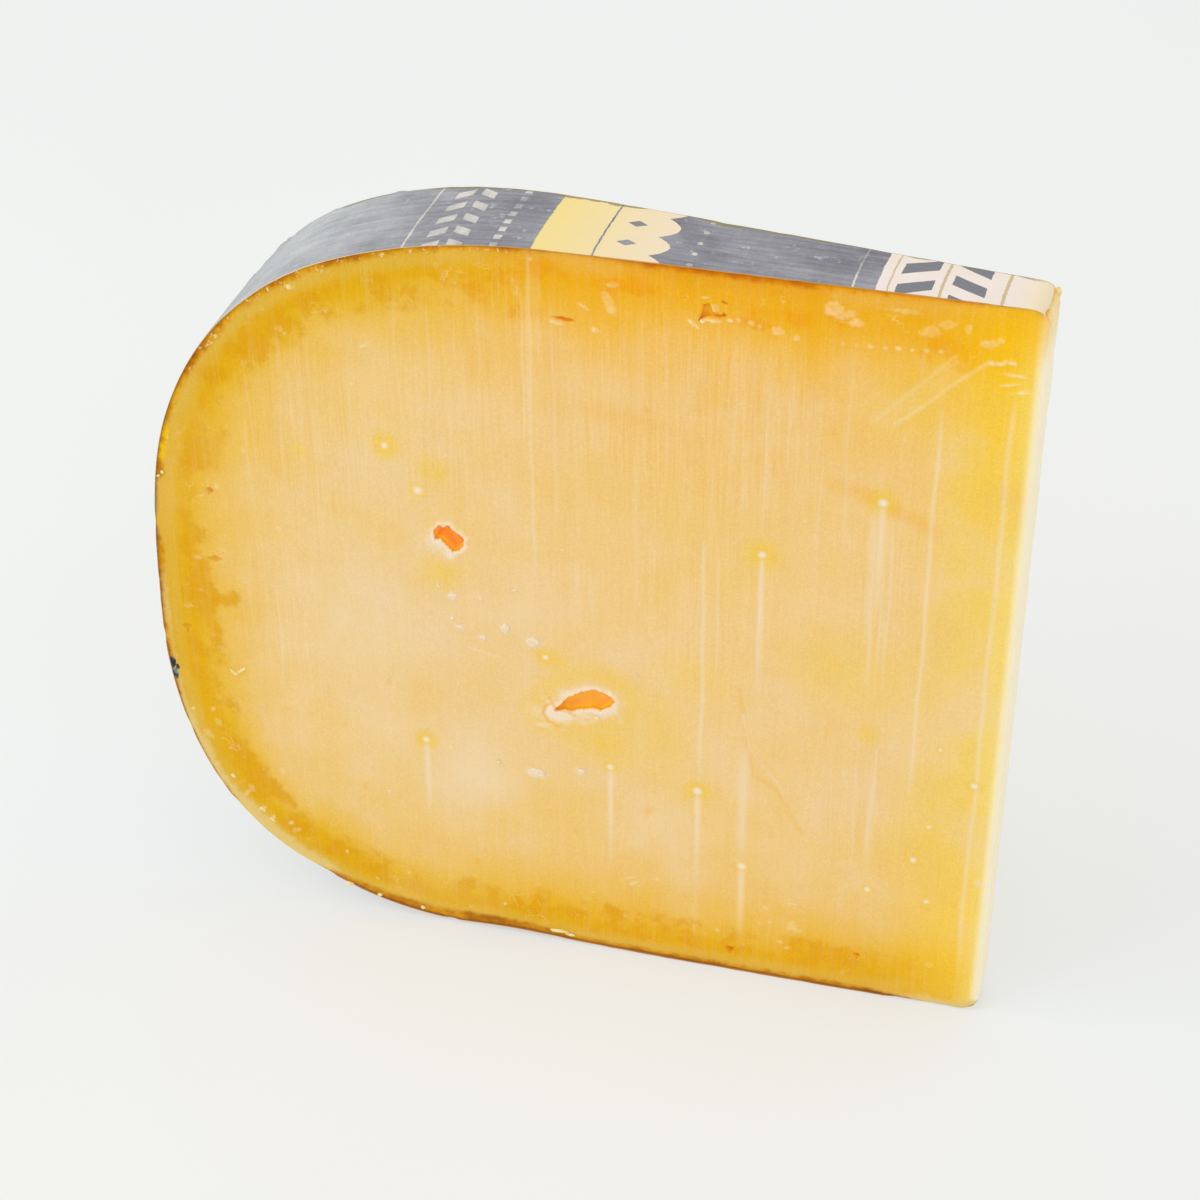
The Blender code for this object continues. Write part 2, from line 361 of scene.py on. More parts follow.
# Small flecks, where the paste tore and is rough and pale. The wide ones are pale only
# round their edge.
FLECKS = (
    # along, up, half width, half height, turn, strength
    (41.0, 102.5, 0.9, 0.3, -40, 0.8), (38.8, 103.2, 1.6, 0.25, 0, 0.8),
    (36.7, 103.5, 0.5, 0.35, 20, 0.8), (38.6, 105.0, 0.7, 0.5, 10, 0.7),
    (39.6, 106.2, 0.6, 0.2, 10, 0.5), (51.0, 103.6, 0.7, 1.6, 20, 0.75),
    (50.7, 106.3, 0.9, 0.35, 10, 0.5), (54.1, 102.9, 0.9, 0.3, -30, 0.6),
    (52.7, 99.9, 0.6, 0.5, 0, 0.95), (57.3, 100.2, 1.1, 0.25, -10, 0.9),
    (35.7, 103.7, 0.4, 0.4, 0, 0.4), (34.1, 103.6, 0.4, 0.5, 0, 0.5), (33.2, 103.2, 0.3, 0.3, 0, 0.4),
    # From here to the row at (2.6, 98.7), the flecks near the top edge are paler than torn paste alone:
    # partly a painted highlight for the glints on them.
    (30.9, 102.9, 0.9, 0.6, 0, 0.81), (28.8, 102.3, 0.5, 0.45, 0, 0.68),
    (24.7, 106.7, 1.1, 1.0, 10, 0.81), (23.4, 106.1, 1.4, 0.7, 20, 0.68), (21.9, 105.4, 1.0, 0.6, 0, 0.81),
    (23.6, 105.2, 0.6, 0.25, 0, 0.41), (13.5, 105.4, 1.3, 0.8, 20, 0.54), (11.5, 106.6, 1.2, 0.6, 10, 0.54),
    (16.3, 107.6, 2.6, 0.35, 0, 0.34), (6.9, 104.6, 1.1, 0.6, 10, 0.74), (5.5, 105.3, 0.6, 0.4, 0, 0.68),
    (9.3, 106.4, 0.5, 0.7, 0, 0.68),
    (5.9, 102.2, 1.6, 0.35, 5, 0.88), (4.1, 102.5, 1.0, 0.3, -10, 0.81), (3.5, 100.9, 1.4, 0.3, -5, 0.94),
    (3.9, 99.6, 1.3, 0.2, 12, 0.68), (2.6, 98.7, 1.1, 0.28, 12, 0.8),
    (90.6, 100.5, 0.5, 0.45, 0, 0.8), (92.5, 94.4, 0.55, 0.5, 0, 0.4), (91.9, 93.8, 0.3, 0.3, 0, 0.3),
    (81.9, 93.4, 0.6, 0.28, 35, 0.5), (83.6, 87.8, 0.3, 0.3, 0, 0.5),
    (97.6, 88.6, 0.5, 0.7, 0, 0.35), (98.7, 75.6, 0.4, 0.6, 0, 0.4), (95.0, 64.2, 0.4, 0.4, 0, 0.4),
    (29.7, 12.5, 0.5, 0.5, 0, 0.5), (25.9, 9.9, 0.9, 0.8, 30, 0.6), (25.0, 9.3, 0.6, 0.5, 0, 0.5),
    (27.4, 6.7, 0.6, 0.4, 0, 0.5), (26.5, 5.9, 0.5, 0.4, 0, 0.4), (29.0, 10.1, 0.3, 0.3, 0, 0.4),
    (30.4, 9.5, 0.35, 0.45, 0, 0.4), (26.0, 14.1, 0.9, 0.18, 0, 0.4), (7.0, 7.3, 0.6, 0.6, 0, 0.45),
    (47.8, 13.1, 0.9, 0.3, 30, 0.5), (48.3, 13.9, 0.7, 0.2, 15, 0.4), (36.2, 7.1, 0.4, 0.45, 0, 0.4),
    (39.6, 9.7, 0.25, 0.25, 0, 0.6), (53.6, 10.2, 0.3, 0.3, 0, 0.4), (44.7, 14.5, 0.3, 0.3, 0, 0.4),
    (96.3, 12.5, 0.8, 0.45, 35, 0.7), (97.1, 13.6, 0.5, 0.4, 20, 0.5), (97.5, 23.0, 0.4, 0.6, 20, 0.45),
    (101.1, 15.5, 1.0, 0.35, 40, 0.6), (99.7, 14.0, 0.8, 0.3, 40, 0.6), (103.2, 17.8, 1.0, 0.4, 50, 0.5),
    (102.4, 19.0, 0.5, 0.7, 30, 0.45), (107.1, 22.4, 0.5, 0.6, 40, 0.4), (108.0, 27.6, 0.9, 0.9, 0, 0.45),
    (106.3, 30.1, 0.5, 0.8, 20, 0.45), (106.8, 32.2, 0.4, 0.5, 0, 0.4), (109.8, 31.7, 0.3, 0.3, 0, 0.7),
    (89.0, 10.0, 0.3, 0.4, 0, 0.6), (84.8, 5.9, 0.3, 0.3, 0, 0.6), (80.1, 8.0, 0.35, 0.3, 0, 0.5),
    (66.3, 5.2, 0.3, 0.3, 0, 0.7), (71.3, 3.5, 0.3, 0.25, 0, 0.5), (106.6, 57.6, 0.8, 0.35, 0, 0.45),
    (102.9, 59.3, 0.9, 0.2, -20, 0.4), (105.3, 67.6, 0.8, 0.25, 20, 0.4), (102.9, 69.5, 0.4, 0.5, 0, 0.4),
    (73.1, 32.1, 0.35, 0.35, 0, 0.6), (93.1, 50.7, 0.3, 0.3, 0, 0.4), (20.2, 38.0, 0.3, 0.3, 0, 0.4),
    (75.5, 57.8, 0.2, 0.2, 0, 0.5), (69.8, 59.1, 0.25, 0.3, 0, 0.4), (112.5, 47.4, 0.2, 0.2, 0, 0.3),
    (1.5, 23.0, 0.7, 0.9, 30, 0.9), (3.3, 57.4, 0.25, 4.0, 0, 0.35), (3.5, 66.4, 0.2, 4.0, 0, 0.3),
    (12.1, 102.9, 0.35, 0.3, 0, 0.5), (13.8, 102.8, 0.35, 0.3, 0, 0.55), (15.4, 102.7, 0.3, 0.3, 0, 0.5),
    (16.9, 102.6, 0.4, 0.3, 0, 0.6), (18.5, 102.5, 0.35, 0.3, 0, 0.6), (20.2, 102.4, 0.35, 0.3, 0, 0.5),
    (21.8, 102.3, 0.4, 0.3, 0, 0.4), (23.4, 102.2, 0.35, 0.3, 0, 0.35), (60.6, 108.4, 0.5, 0.25, 0, 0.5),
    (88.0, 103.4, 0.5, 0.2, 20, 0.5), (84.2, 105.1, 0.4, 0.2, 15, 0.45), (95.2, 98.3, 0.5, 0.25, 40, 0.55),
    (98.4, 95.3, 0.3, 0.2, 45, 0.5), (104.3, 87.4, 0.5, 0.2, 60, 0.5), (109.0, 75.8, 0.5, 0.2, 70, 0.35),
)
# Protein crystals, each in a bed of paler paste.
CRYSTALS = (
    # along, up, half along, half up, half out, turn, sunk
    (71.9, 57.6, 0.65, 0.55, 0.12, 20, 0.05), (72.1, 54.0, 0.3, 0.3, 0.11, 0, 0.05),
    (71.1, 52.7, 0.5, 0.35, 0.11, 0, 0.05), (68.1, 51.6, 0.55, 0.5, 0.12, 0, 0.05),
    (65.0, 53.6, 0.6, 0.85, 0.13, 15, 0.05), (61.4, 52.1, 0.95, 0.85, 0.14, -10, 0.05),
    (61.3, 30.0, 1.25, 0.8, 0.13, 0, 0.05), (55.1, 31.5, 0.65, 0.5, 0.12, 0, 0.05),
    (63.5, 60.0, 0.25, 0.25, 0.11, 0, 0.05), (66.5, 30.9, 0.3, 0.25, 0.11, 0, 0.05),
    (82.2, 22.5, 0.3, 0.25, 0.11, 0, 0.05), (68.1, 57.8, 0.25, 0.2, 0.11, 0, 0.05),
    (47.7, 49.3, 0.2, 0.2, 0.11, 0, 0.05), (73.7, 58.9, 0.2, 0.2, 0.11, 0, 0.05),
)
# Dark yellow dots of moist paste.
AMBER_DOTS = (
    (45.9, 26.4, 0.8), (81.2, 41.7, 0.4), (46.5, 89.7, 0.5), (23.8, 89.9, 0.45), (94.4, 73.4, 0.5),
    (55.9, 20.5, 0.4), (85.7, 22.7, 0.3), (86.4, 50.5, 0.35), (44.4, 84.7, 0.35), (70.1, 12.2, 0.3),
    (51.8, 106.2, 0.6), (50.1, 105.4, 0.5), (10.8, 64.4, 0.35), (87.9, 33.3, 0.4), (62.6, 104.6, 1.3),
    (98.2, 89.4, 0.5), (103.1, 77.6, 0.35), (108.2, 57.2, 0.5), (107.6, 45.8, 0.5), (105.8, 46.3, 0.35),
    (10.1, 105.2, 0.6), (7.5, 105.8, 0.5), (3.6, 103.8, 0.5), (11.5, 103.2, 0.7),
)
# Clear deep-amber paste in the belt under the rind: middle, half sizes, turn, strength.
DEEP = (
    (101.9, 86.3, 4.4, 3.4, 42, 1.0), (105.1, 75.2, 3.0, 7.4, -6, 1.0), (95.6, 92.7, 8.4, 2.8, 46, 0.95),
    (88.5, 98.7, 5.4, 1.8, 33, 0.7), (107.2, 64.3, 2.0, 8.0, 0, 0.75), (102.3, 51.1, 2.6, 3.2, 0, 0.95),
    (106.2, 51.3, 3.2, 7.6, 3, 0.85), (105.8, 38.4, 2.6, 6.0, -10, 0.6), (103.2, 25.0, 6.0, 2.6, -48, 1.0),
    (98.3, 18.8, 6.0, 2.2, -42, 0.9), (88.4, 10.4, 9.0, 1.9, -24, 0.85), (73.1, 5.3, 14.0, 1.8, -4, 0.75),
    (52.3, 3.5, 16.0, 1.8, 0, 0.45), (64.9, 105.6, 3.6, 1.5, 12, 1.0), (72.7, 104.1, 6.0, 1.4, 14, 0.6),
    (48.5, 106.4, 10.0, 1.8, 0, 0.8), (24.8, 105.4, 14.0, 2.4, 0, 0.55), (8.9, 103.4, 8.0, 3.6, 0, 0.95),
    (33.7, 103.6, 4.0, 1.3, 0, 0.7), (19.6, 7.6, 8.0, 2.2, 8, 0.6), (5.7, 4.9, 6.0, 4.0, 0, 0.6),
    (58.8, 107.4, 4.0, 2.2, 0, 0.9), (60.8, 101.5, 5.0, 2.4, 20, 0.4),
)
# Wide soft clouds: middle, half sizes, turn, strength. Above 0 they are moist and yellow,
# below 0 dry and pale.
CLOUDS = (
    (18.7, 54.0, 17.0, 10.0, -32, 0.55), (14.8, 95.0, 11.0, 9.0, 0, 0.6),
    (8.8, 29.9, 10.0, 16.0, 0, 0.45), (40.5, 50.1, 9.0, 6.0, -20, 0.4),
    (33.6, 66.0, 8.0, 9.0, 0, 0.25), (44.5, 40.1, 8.0, 13.0, 20, 0.45), (5.9, 84.0, 7.0, 16.0, 0, 0.3),
    (72.2, 70.2, 10.0, 6.0, 0, 0.15), (85.9, 50.3, 14.0, 11.0, 0, -0.35), (70.1, 28.2, 10.0, 9.0, 0, -0.4),
    (43.4, 24.1, 9.0, 8.0, 0, -0.35), (62.3, 56.1, 8.0, 6.0, 0, -0.25), (50.5, 92.1, 12.0, 6.0, 0, -0.2),
    (80.1, 88.1, 10.0, 5.0, 20, -0.15), (27.6, 22.0, 7.0, 7.0, 0, -0.2), (82.0, 34.3, 9.0, 7.0, 0, -0.3),
)
# Where the blade's nicks combed the paste most: middle, half sizes, strength.
COMBED = (
    (40.6, 89.0, 24.0, 20.0, 1.0), (89.9, 80.2, 13.0, 20.0, 0.9), (63.3, 98.1, 12.0, 12.0, 0.8),
    (72.2, 84.1, 14.0, 18.0, 0.5), (38.6, 62.1, 14.0, 18.0, 0.5), (95.8, 50.3, 8.0, 18.0, 0.5),
    (16.8, 70.0, 8.0, 26.0, 0.4), (54.4, 64.1, 8.0, 14.0, 0.4), (18.7, 36.0, 8.0, 16.0, 0.5),
)
# Patches with more points, so that small shapes are cut cleanly: middle, half sizes, turn,
# and how far apart the points are (along, across).
FINE_PATCHES = [
    ((72.1, 66.4), (4.4, 4.2), 0, (0.17, 0.17)),
    ((54.7, 42.7), (6.6, 4.9), 0, (0.19, 0.19)),
    ((38.5, 104.2), (3.6, 2.6), 0, (0.15, 0.15)),
    ((56.4, 100.6), (3.2, 1.5), 0, (0.17, 0.17)),
    ((51.3, 104.3), (3.6, 2.6), 0, (0.22, 0.22)),
    ((104.1, 68.5), (1.5, 1.3), 0, (0.15, 0.15)),
    ((104.5, 57.8), (2.3, 1.6), 0, (0.16, 0.16)),
    ((109.2, 45.6), (1.5, 1.5), 0, (0.16, 0.16)),
    ((34.4, 3.7), (1.4, 1.3), 0, (0.14, 0.14)),
    ((16.8, 6.6), (1.2, 1.2), 0, (0.15, 0.15)),
    ((23.4, 106.0), (2.8, 1.8), 0, (0.2, 0.2)),
    ((12.9, 97.3), (8.0, 1.9), 47, (0.3, 0.22)),
    ((4.3, 101.4), (3.2, 3.8), 0, (0.2, 0.2)),
    ((26.5, 8.6), (2.6, 3.2), 0, (0.2, 0.2)),
]
BACK_PATCHES = [
    ((67.0, 51.9), (4.8, 3.2), 0, (0.2, 0.2)),
    ((31.0, 79.0), (2.1, 1.8), 0, (0.2, 0.2)),
    ((45.5, 102.4), (3.2, 1.5), 0, (0.2, 0.2)),
]


def strengthen(mark, value):
    """Raises a mark in place to value, wherever value is stronger."""
    np.maximum(mark, value, out=mark)


def dragged(along, up):
    """How strongly a pale drag line shows at each place, from 0 to 1."""
    shown = np.zeros(len(along))
    for at, high, low, width, strength in DRAGS:
        wander = 0.10 * np.sin(up / 5.1 + at) + 0.06 * np.sin(up / 2.3 + 2 * at)
        line = np.exp(-(((along - at - wander) / width) ** 2) * 2.2)
        fade = smooth(high + 1, high - 4, up) * smooth(low - 2, low + 6, up)
        strengthen(shown, strength * line * fade)
    for at, height, dot, _, length in PINHEADS:
        if length:
            fade = smooth(height, height - 1.5, up) * smooth(height - length, height - 0.3 * length, up)
            line = np.exp(-(((along - at) / (0.85 * dot)) ** 2) * 1.6)
            strengthen(shown, 0.95 * line * fade)
    return shown


def wire_lines(along, up, seed):
    """Fine upright ridges from nicks in the knife, stronger on the upper half, in mm."""
    strong = 0.6 + 0.4 * mottle(along, up, (14, 22), seed + 1)
    strong *= 0.35 + 0.65 * smooth(35, 85, up)
    fine = mottle(along, up, (0.75, 42), seed + 2) + 0.7 * mottle(along, up, (1.7, 60), seed + 3)
    return 0.010 * strong * fine


def rind_edge(along, up, under, seed):
    """Where the knife left the rind it rounded the edge and broke small bites from it."""
    bites = np.maximum(mottle(along, up, 1.9, seed + 5), 0)
    soft = 0.10 * smooth(0.8, 0.0, under) + 0.06 * bites * smooth(0.6, 0.0, under)
    foot = smooth(20, 3, up) * smooth(1.6, 0.2, under)
    return soft + foot * 0.10 * (0.5 + 0.5 * mottle(along, up, 3.1, seed + 6))


def open_up(along, up, openings, seed):
    """Depth of the eyes, cracks and pits, and how far each place is inside one (0 to 1), scaled by how much
    painted orange glow its inside gets.
    """
    into = np.zeros(len(along))
    inside = np.zeros(len(along))
    for outline, depth, wall, lip, painted_glow in openings:
        near = np.array(outline)
        close = (np.abs(along - near[:, 0].mean()) < 8) & (np.abs(up - near[:, 1].mean()) < 8)
        a, u = along[close], up[close]
        teeth = 0.10 * mottle(a, u, 0.45, seed + 8) + 0.06 * mottle(a, u, 0.22, seed + 9)
        gap = inside_distance(a, u, outline) + teeth * min(1.0, wall)
        fall = 1 - np.exp(-np.maximum(gap, 0) / (0.42 * wall))
        floor = 1 + 0.16 * mottle(a, u, 0.9, seed + 10)
        ridge = lip * np.exp(-(((gap + 0.22) / 0.28) ** 2)) * (0.6 + 0.5 * mottle(a, u, 0.6, seed + 11))
        into[close] += depth * fall * floor - ridge
        inside[close] = np.maximum(inside[close], painted_glow * smooth(0.02, 0.93, fall))
    return into, inside


def mark_pinheads(along, up, into, dry, moist):
    """Each pinhead is a pale dome in a moist halo; a few have closed and left only the halo."""
    for at, height, dot, halo, _ in PINHEADS:
        reach = np.hypot(along - at, up - height)
        strengthen(moist, (0.95 if dot else 0.6) * smooth(1.35 * halo, 0.3 * halo, reach))
        if dot:
            strengthen(dry, 1.1 * smooth(1.35 * dot, 0.1 * dot, reach))
            into -= 0.06 * smooth(1.2 * dot, 0.0, reach) - 0.03 * spot(along, up, (at, height), 1.8 * dot)


def mark_scratches(along, up, into, dry, amber):
    """A scratch is pale and shallow, a closed seam amber."""
    for line, width, tone in SCRATCHES:
        gap = stroke_distance(along, up, line)
        mark = smooth(width, 0.1 * width, gap) * (0.7 + 0.3 * mottle(along, up, 0.7, 31))
        into += (0.03 if width < 1 else 0.0) * abs(tone) * mark
        if tone > 0:
            strengthen(dry, tone * mark)
        else:
            faint = 0.75 + 0.25 * mottle(along, up, 1.1, 32)
            strengthen(amber, -tone * smooth(1.2 * width, 0, gap) * faint)


def mark_flecks(along, up, into, dry, amber):
    """Torn flecks stand up pale and broken, and the wide ones are amber inside. Crystals lie
    in beds of paler paste, and moist dots are a little sunk."""
    for at, height, width, tall, turn, strength in FLECKS:
        mark = spot(along, up, (at, height), (1.35 * width, 1.35 * tall), turn)
        mark = smooth(0.12, 0.6, mark + 0.3 * mottle(along, up, 0.4, 33) * (mark > 0.02))
        core = smooth(0.6, 1.0, mark) * (0.4 if min(width, tall) > 0.42 else 0.0)
        broken = 0.8 + 0.4 * mottle(along, up, 0.45, 34)
        strengthen(dry, strength * mark * (1 - core) * broken)
        strengthen(amber, 0.5 * strength * core * mark)
        into -= 0.10 * strength * mark * (1 - 0.8 * core)
    for at, height, width, tall, *_ in CRYSTALS:
        bed = spot(along, up, (at, height), (1.9 * width, 1.9 * tall))
        strengthen(dry, smooth(0.0, 0.7, bed) * (0.6 + 0.3 * mottle(along, up, 0.4, 41)))
    for at, height, size in AMBER_DOTS:
        strengthen(amber, 0.6 * spot(along, up, (at, height), 1.4 * size))
        into += 0.05 * spot(along, up, (at, height), size)


def mark_eye_rims(along, up, into, dry, moist, amber):
    """Dry pale paste round the two eyes, widest below them, and the moist ring beyond it."""
    ragged = 0.35 * mottle(along, up, 0.8, 35) + 0.2 * mottle(along, up, 0.35, 36)
    round_gap = -inside_distance(along, up, ROUND_EYE)
    round_reach = 0.6 + 1.3 * smooth(67.6, 64.8, up) * smooth(70.2, 72.4, along)
    long_gap = -inside_distance(along, up, LONG_EYE)
    long_reach = 0.9 + 1.5 * smooth(43.4, 40.6, up) + 1.0 * smooth(55.5, 58.0, along)
    halo = smooth(1.15, 0.1, round_gap / round_reach + ragged) * (round_gap < 3)
    strengthen(halo, smooth(1.1, 0.0, long_gap / long_reach + ragged) * (long_gap < 4))
    strengthen(dry, 0.9 * halo * (1 - 0.9 * smooth(0.25, 0.6, amber)))
    into -= 0.06 * halo * (0.4 + 0.6 * mottle(along, up, 0.5, 37))
    ring = spot(along, up, (73.2, 61.0), (5.4, 4.4)) * smooth(0.8, 2.2, round_gap)
    strengthen(ring, 0.8 * smooth(5.6, 2.8, long_gap) * smooth(0.6, 2.2, long_gap))
    strengthen(ring, spot(along, up, (52.0, 37.0), (8.4, 6.0), -8))
    strengthen(ring, spot(along, up, (58.2, 49.2), (3.6, 3.2)))
    strengthen(moist, 0.75 * ring)


def mark_clouds(along, up, dry, moist):
    """The wide clouds; where both meet, the moist ones win."""
    pale = np.zeros(len(along))
    for at, height, width, tall, turn, strength in CLOUDS:
        cloud = spot(along, up, (at, height), (width, tall), turn)
        strengthen(moist if strength > 0 else pale, abs(strength) * cloud)
    moist *= 0.88 + 0.12 * mottle(along, up, 1.6, 38)
    strengthen(dry, pale * (1 - smooth(0.1, 0.4, moist)) * (0.8 + 0.2 * mottle(along, up, 3, 39)))


def front_face(along, up, under, run):
    """The shown face: its relief in mm into the paste, and the marks that colour it."""
    into = 0.13 + 0.09 * mottle(along, up, 34, 1) + 0.05 * mottle(along, up, 12, 2)
    into += 0.012 * mottle(along, up, 2.6, 3) + 0.006 * mottle(along, up, (0.9, 1.1), 4)
    into += wire_lines(along, up, FRONT_SEED) + rind_edge(along, up, under, FRONT_SEED)
    hollows, inside = open_up(along, up, OPENINGS, FRONT_SEED)
    into += hollows
    drags = dragged(along, up)
    into += 0.03 * drags
    dry = 0.58 * drags
    moist = np.zeros(len(along))
    amber = np.zeros(len(along))
    mark_pinheads(along, up, into, dry, moist)
    mark_scratches(along, up, into, dry, amber)
    mark_flecks(along, up, into, dry, amber)
    mark_eye_rims(along, up, into, dry, moist, amber)
    mark_clouds(along, up, dry, moist)

    # The upper tip corner is wrinkled and its very corner worn round.
    corner = spot(along, up, (2.4, 101.0), (5.0, 5.0))
    into += 0.16 * corner * (0.5 + 0.5 * mottle(along, up, (2.2, 0.8), 40))
    into += 0.45 * smooth(2.2, 0.6, np.hypot(along - 0.1, 109.6 - up))
    into += 0.4 * smooth(2.4, 0.8, np.hypot(along, up))

    deep = 0.45 * smooth(1.8, 3.6, under) * smooth(9.6, 6.6, under) * smooth(56, 70, run)
    for at, height, width, tall, turn, strength in DEEP:
        strengthen(deep, strength * spot(along, up, (at, height), (1.25 * width, 1.25 * tall), turn))
    combed = np.zeros(len(along))
    for at, height, width, tall, strength in COMBED:
        strengthen(combed, strength * smooth(0, 0.5, spot(along, up, (at, height), (width, tall))))
    return into, {
        "hollow": inside, "dry": dry, "moist": moist, "amber": amber, "deep": deep,
        "combed": combed, "rust": rust_line(run), "bare": bare_line(run),
    }


# How thick the rust-brown rind is (RUST) and how deep the outermost paste is pale (BARE), in
# mm, at places round the section.
RUST_RUN = (
    0, 3, 10, 25, 35, 45, 52, 56, 62, 80, 96, 108, 116, 122, 125, 128.5, 129.5, 131.5, 133, 139,
    141.5, 143, 145.5, 148, 152, 160, 166, 174, 184, 190, 203, 206, 212, 224, 232, 240, 280, 287, 290,
)
RUST_DEPTH = (
    0, 0, 0.5, 0.8, 0.85, 0.7, 0.4, 0.2, 0.6, 0.8, 0.95, 0.95, 0.9, 0.8, 0.4, 0.4, 0.95, 0.9, 0.1, 0.05,
    0.4, 1.0, 1.0, 0.6, 0.5, 0.75, 0.5, 0.1, 0.3, 0.0, 0.0, 0.9, 1.5, 1.9, 1.7, 1.0, 1.0, 0.5, 0.0,
)
BARE_RUN = (140, 152, 168, 176, 184, 190, 202, 206, 210, 240, 250, 280, 290)
BARE_DEPTH = (0, 0.9, 0.8, 1.3, 1.3, 2.2, 2.0, 1.0, 0, 0, 0, 0, 1.2)


def rust_line(run):
    """How thick the rust-brown rind shows here, by how far round the section a place is."""
    return np.interp(run, RUST_RUN, RUST_DEPTH)


def bare_line(run):
    """How deep the outermost paste is pale and greenish, where hardly any rind is left."""
    return np.interp(run, BARE_RUN, BARE_DEPTH)


def back_face(along, up, under, run):
    """The other face, cut with the same knife: the same relief with marks of its own."""
    into = 0.13 + 0.09 * mottle(along, up, 31, 51) + 0.05 * mottle(along, up, 11, 52)
    into += 0.012 * mottle(along, up, 2.6, 53)
    into += 1.3 * wire_lines(along, up, BACK_SEED) + rind_edge(along, up, under, BACK_SEED)
    hollows, inside = open_up(along, up, BACK_OPENINGS, BACK_SEED)
    into += hollows
    rng = np.random.default_rng(77)
    dry = np.zeros(len(along))
    moist = np.zeros(len(along))
    amber = np.zeros(len(along))
    for _ in range(26):
        at, high = rng.uniform(3, 100), rng.uniform(30, 104)
        low = high - rng.uniform(12, 46)
        line = np.exp(-(((along - at - 0.1 * np.sin(up / 5)) / rng.uniform(0.35, 0.6)) ** 2) * 2)
        fade = smooth(high, high - 4, up) * smooth(low, low + 7, up)
        strengthen(dry, rng.uniform(0.15, 0.4) * line * fade)
    for _ in range(13):
        at, height, dot = rng.uniform(5, 95), rng.uniform(15, 95), rng.uniform(0.5, 0.8)
        reach = np.hypot(along - at, up - height)
        strengthen(moist, 0.7 * smooth(3.2 * dot, dot, reach))
        strengthen(dry, 1.1 * smooth(dot, 0.4 * dot, reach))
        strengthen(amber, 0.5 * spot(along, up, (at - 9, height + 5), 0.9 * dot))
    gap = -inside_distance(along, up, BACK_EYE)
    halo = smooth(1.0, 0.3, gap / 1.1 + 0.35 * mottle(along, up, 0.8, 79)) * (gap < 3)
    strengthen(dry, 0.9 * halo)
    into += 0.03 * dry - 0.08 * halo
    ring = spot(along, up, (66.5, 49.5), (8.0, 6.0)) * smooth(1.0, 2.4, gap)
    strengthen(moist, 0.6 * ring)
    strengthen(moist, 0.4 * smooth(0.2, 0.7, mottle(along, up, 17, 80)))
    deep = smooth(1.8, 3.6, under) * smooth(9.6, 6.6, under)
    deep *= 0.6 + 0.5 * mottle(along, up, 9, 81)
    combed = 0.4 + 0.6 * mottle(along, up, (11, 19), 82)
    return into, {
        "hollow": inside, "dry": dry, "moist": moist, "amber": amber, "deep": deep,
        "combed": combed, "rust": rust_line(run), "bare": bare_line(run),
    }


# ---------------------------------------------------------------- the paste


def lattice(middle, half, turn, gaps):
    """Points in a turned box on the face, every other row moved half a gap."""
    rows = np.arange(-half[1], half[1] + 1e-6, gaps[1])
    found = []
    for number, row in enumerate(rows):
        shift = 0.5 * gaps[0] * (number % 2)
        across = np.arange(-half[0] + shift, half[0] + 1e-6, gaps[0])
        found.append(np.stack([across, np.full(len(across), row)], -1))
    found = np.concatenate(found)
    c, s = math.cos(math.radians(turn)), math.sin(math.radians(turn))
    turned = np.stack([found[:, 0] * c + found[:, 1] * s, found[:, 1] * c - found[:, 0] * s], -1)
    return turned + middle


def within(points, middle, half, turn, margin):
    """Which points lie in a turned box on the face, or within margin of it."""
    dx, dy = (points - middle).T
    c, s = math.cos(math.radians(turn)), math.sin(math.radians(turn))
    return (np.abs(dx * c - dy * s) < half[0] + margin) & (np.abs(dx * s + dy * c) < half[1] + margin)


def net_over(loop, gaps, patches):
    """A triangle net over a cut face: columns close enough for the knife's ridges, rings
    along the rind and fine patches. Returns its points, the loop's first, and triangles."""
    rind = kdtree.KDTree(len(loop))
    for number, point in enumerate(loop):
        rind.insert((*point, 0), number)
    rind.balance()

    span_along = np.concatenate([[0.16, 0.42, 0.8], np.arange(1.2, 113, gaps[0])])
    rows = np.arange(0.8, WHEEL_HEIGHT, gaps[1])
    points = np.array([(a, u) for u in rows for a in span_along])
    for middle, half, turn, step in patches:
        points = points[~within(points, middle, half, turn, 0.5 * max(step))]
        points = np.concatenate([points, lattice(middle, half, turn, step)])
    far = np.array([rind.find((*p, 0))[2] for p in points])
    closed = [tuple(p) for p in loop]
    inside = inside_distance(points[:, 0], points[:, 1], closed[::4]) > -0.5
    keep = inside & (far > 0.16) & (points[:, 0] > 0.1)
    crossing = inside_distance(points[keep][:, 0], points[keep][:, 1], closed) > 0.1
    points = points[keep][crossing]
    coords = [Vector(p) for p in np.concatenate([loop, points])]
    edges = [(i, (i + 1) % len(loop)) for i in range(len(loop))]
    made = geometry.delaunay_2d_cdt(coords, edges, [], 1, 1e-5)
    flat = np.array([tuple(v) for v in made[0]])
    order = np.array([ids[0] if ids else -1 for ids in made[3]])
    if len(flat) != len(coords) or (order != np.arange(len(coords))).any():
        raise RuntimeError("the net over a cut face doesn't keep its points")
    return flat, np.array(made[2])


def under_rind(points, rim, run):
    """How deep under the rind each place on a face is, in mm, and how far round it lies."""
    tree = kdtree.KDTree(len(rim))
    for number, point in enumerate(rim):
        tree.insert((*point, 0), number)
    tree.balance()
    found = [tree.find((*p, 0)) for p in points]
    return np.array([f[2] for f in found]), run[[f[1] for f in found]]


STRIP_ROWS = 14
# How far apart a net's points are, along and up: over a whole face, and over its small marks.
NET_STEPS = {FRONT: (0.36, 0.95), BACK: (0.5, 1.3)}
LINE_STEP, SCRATCH_STEP = (0.16, 0.8), (0.3, 0.17)
DOT_STEP, FLECK_STEP, BED_STEP = (0.15, 0.15), (0.16, 0.16), (0.2, 0.2)
SKIN_STEP, FINE_STEP, TIP_STEP, COAT_STEP = 0.5, 0.1, 0.7, 0.62  # along the section
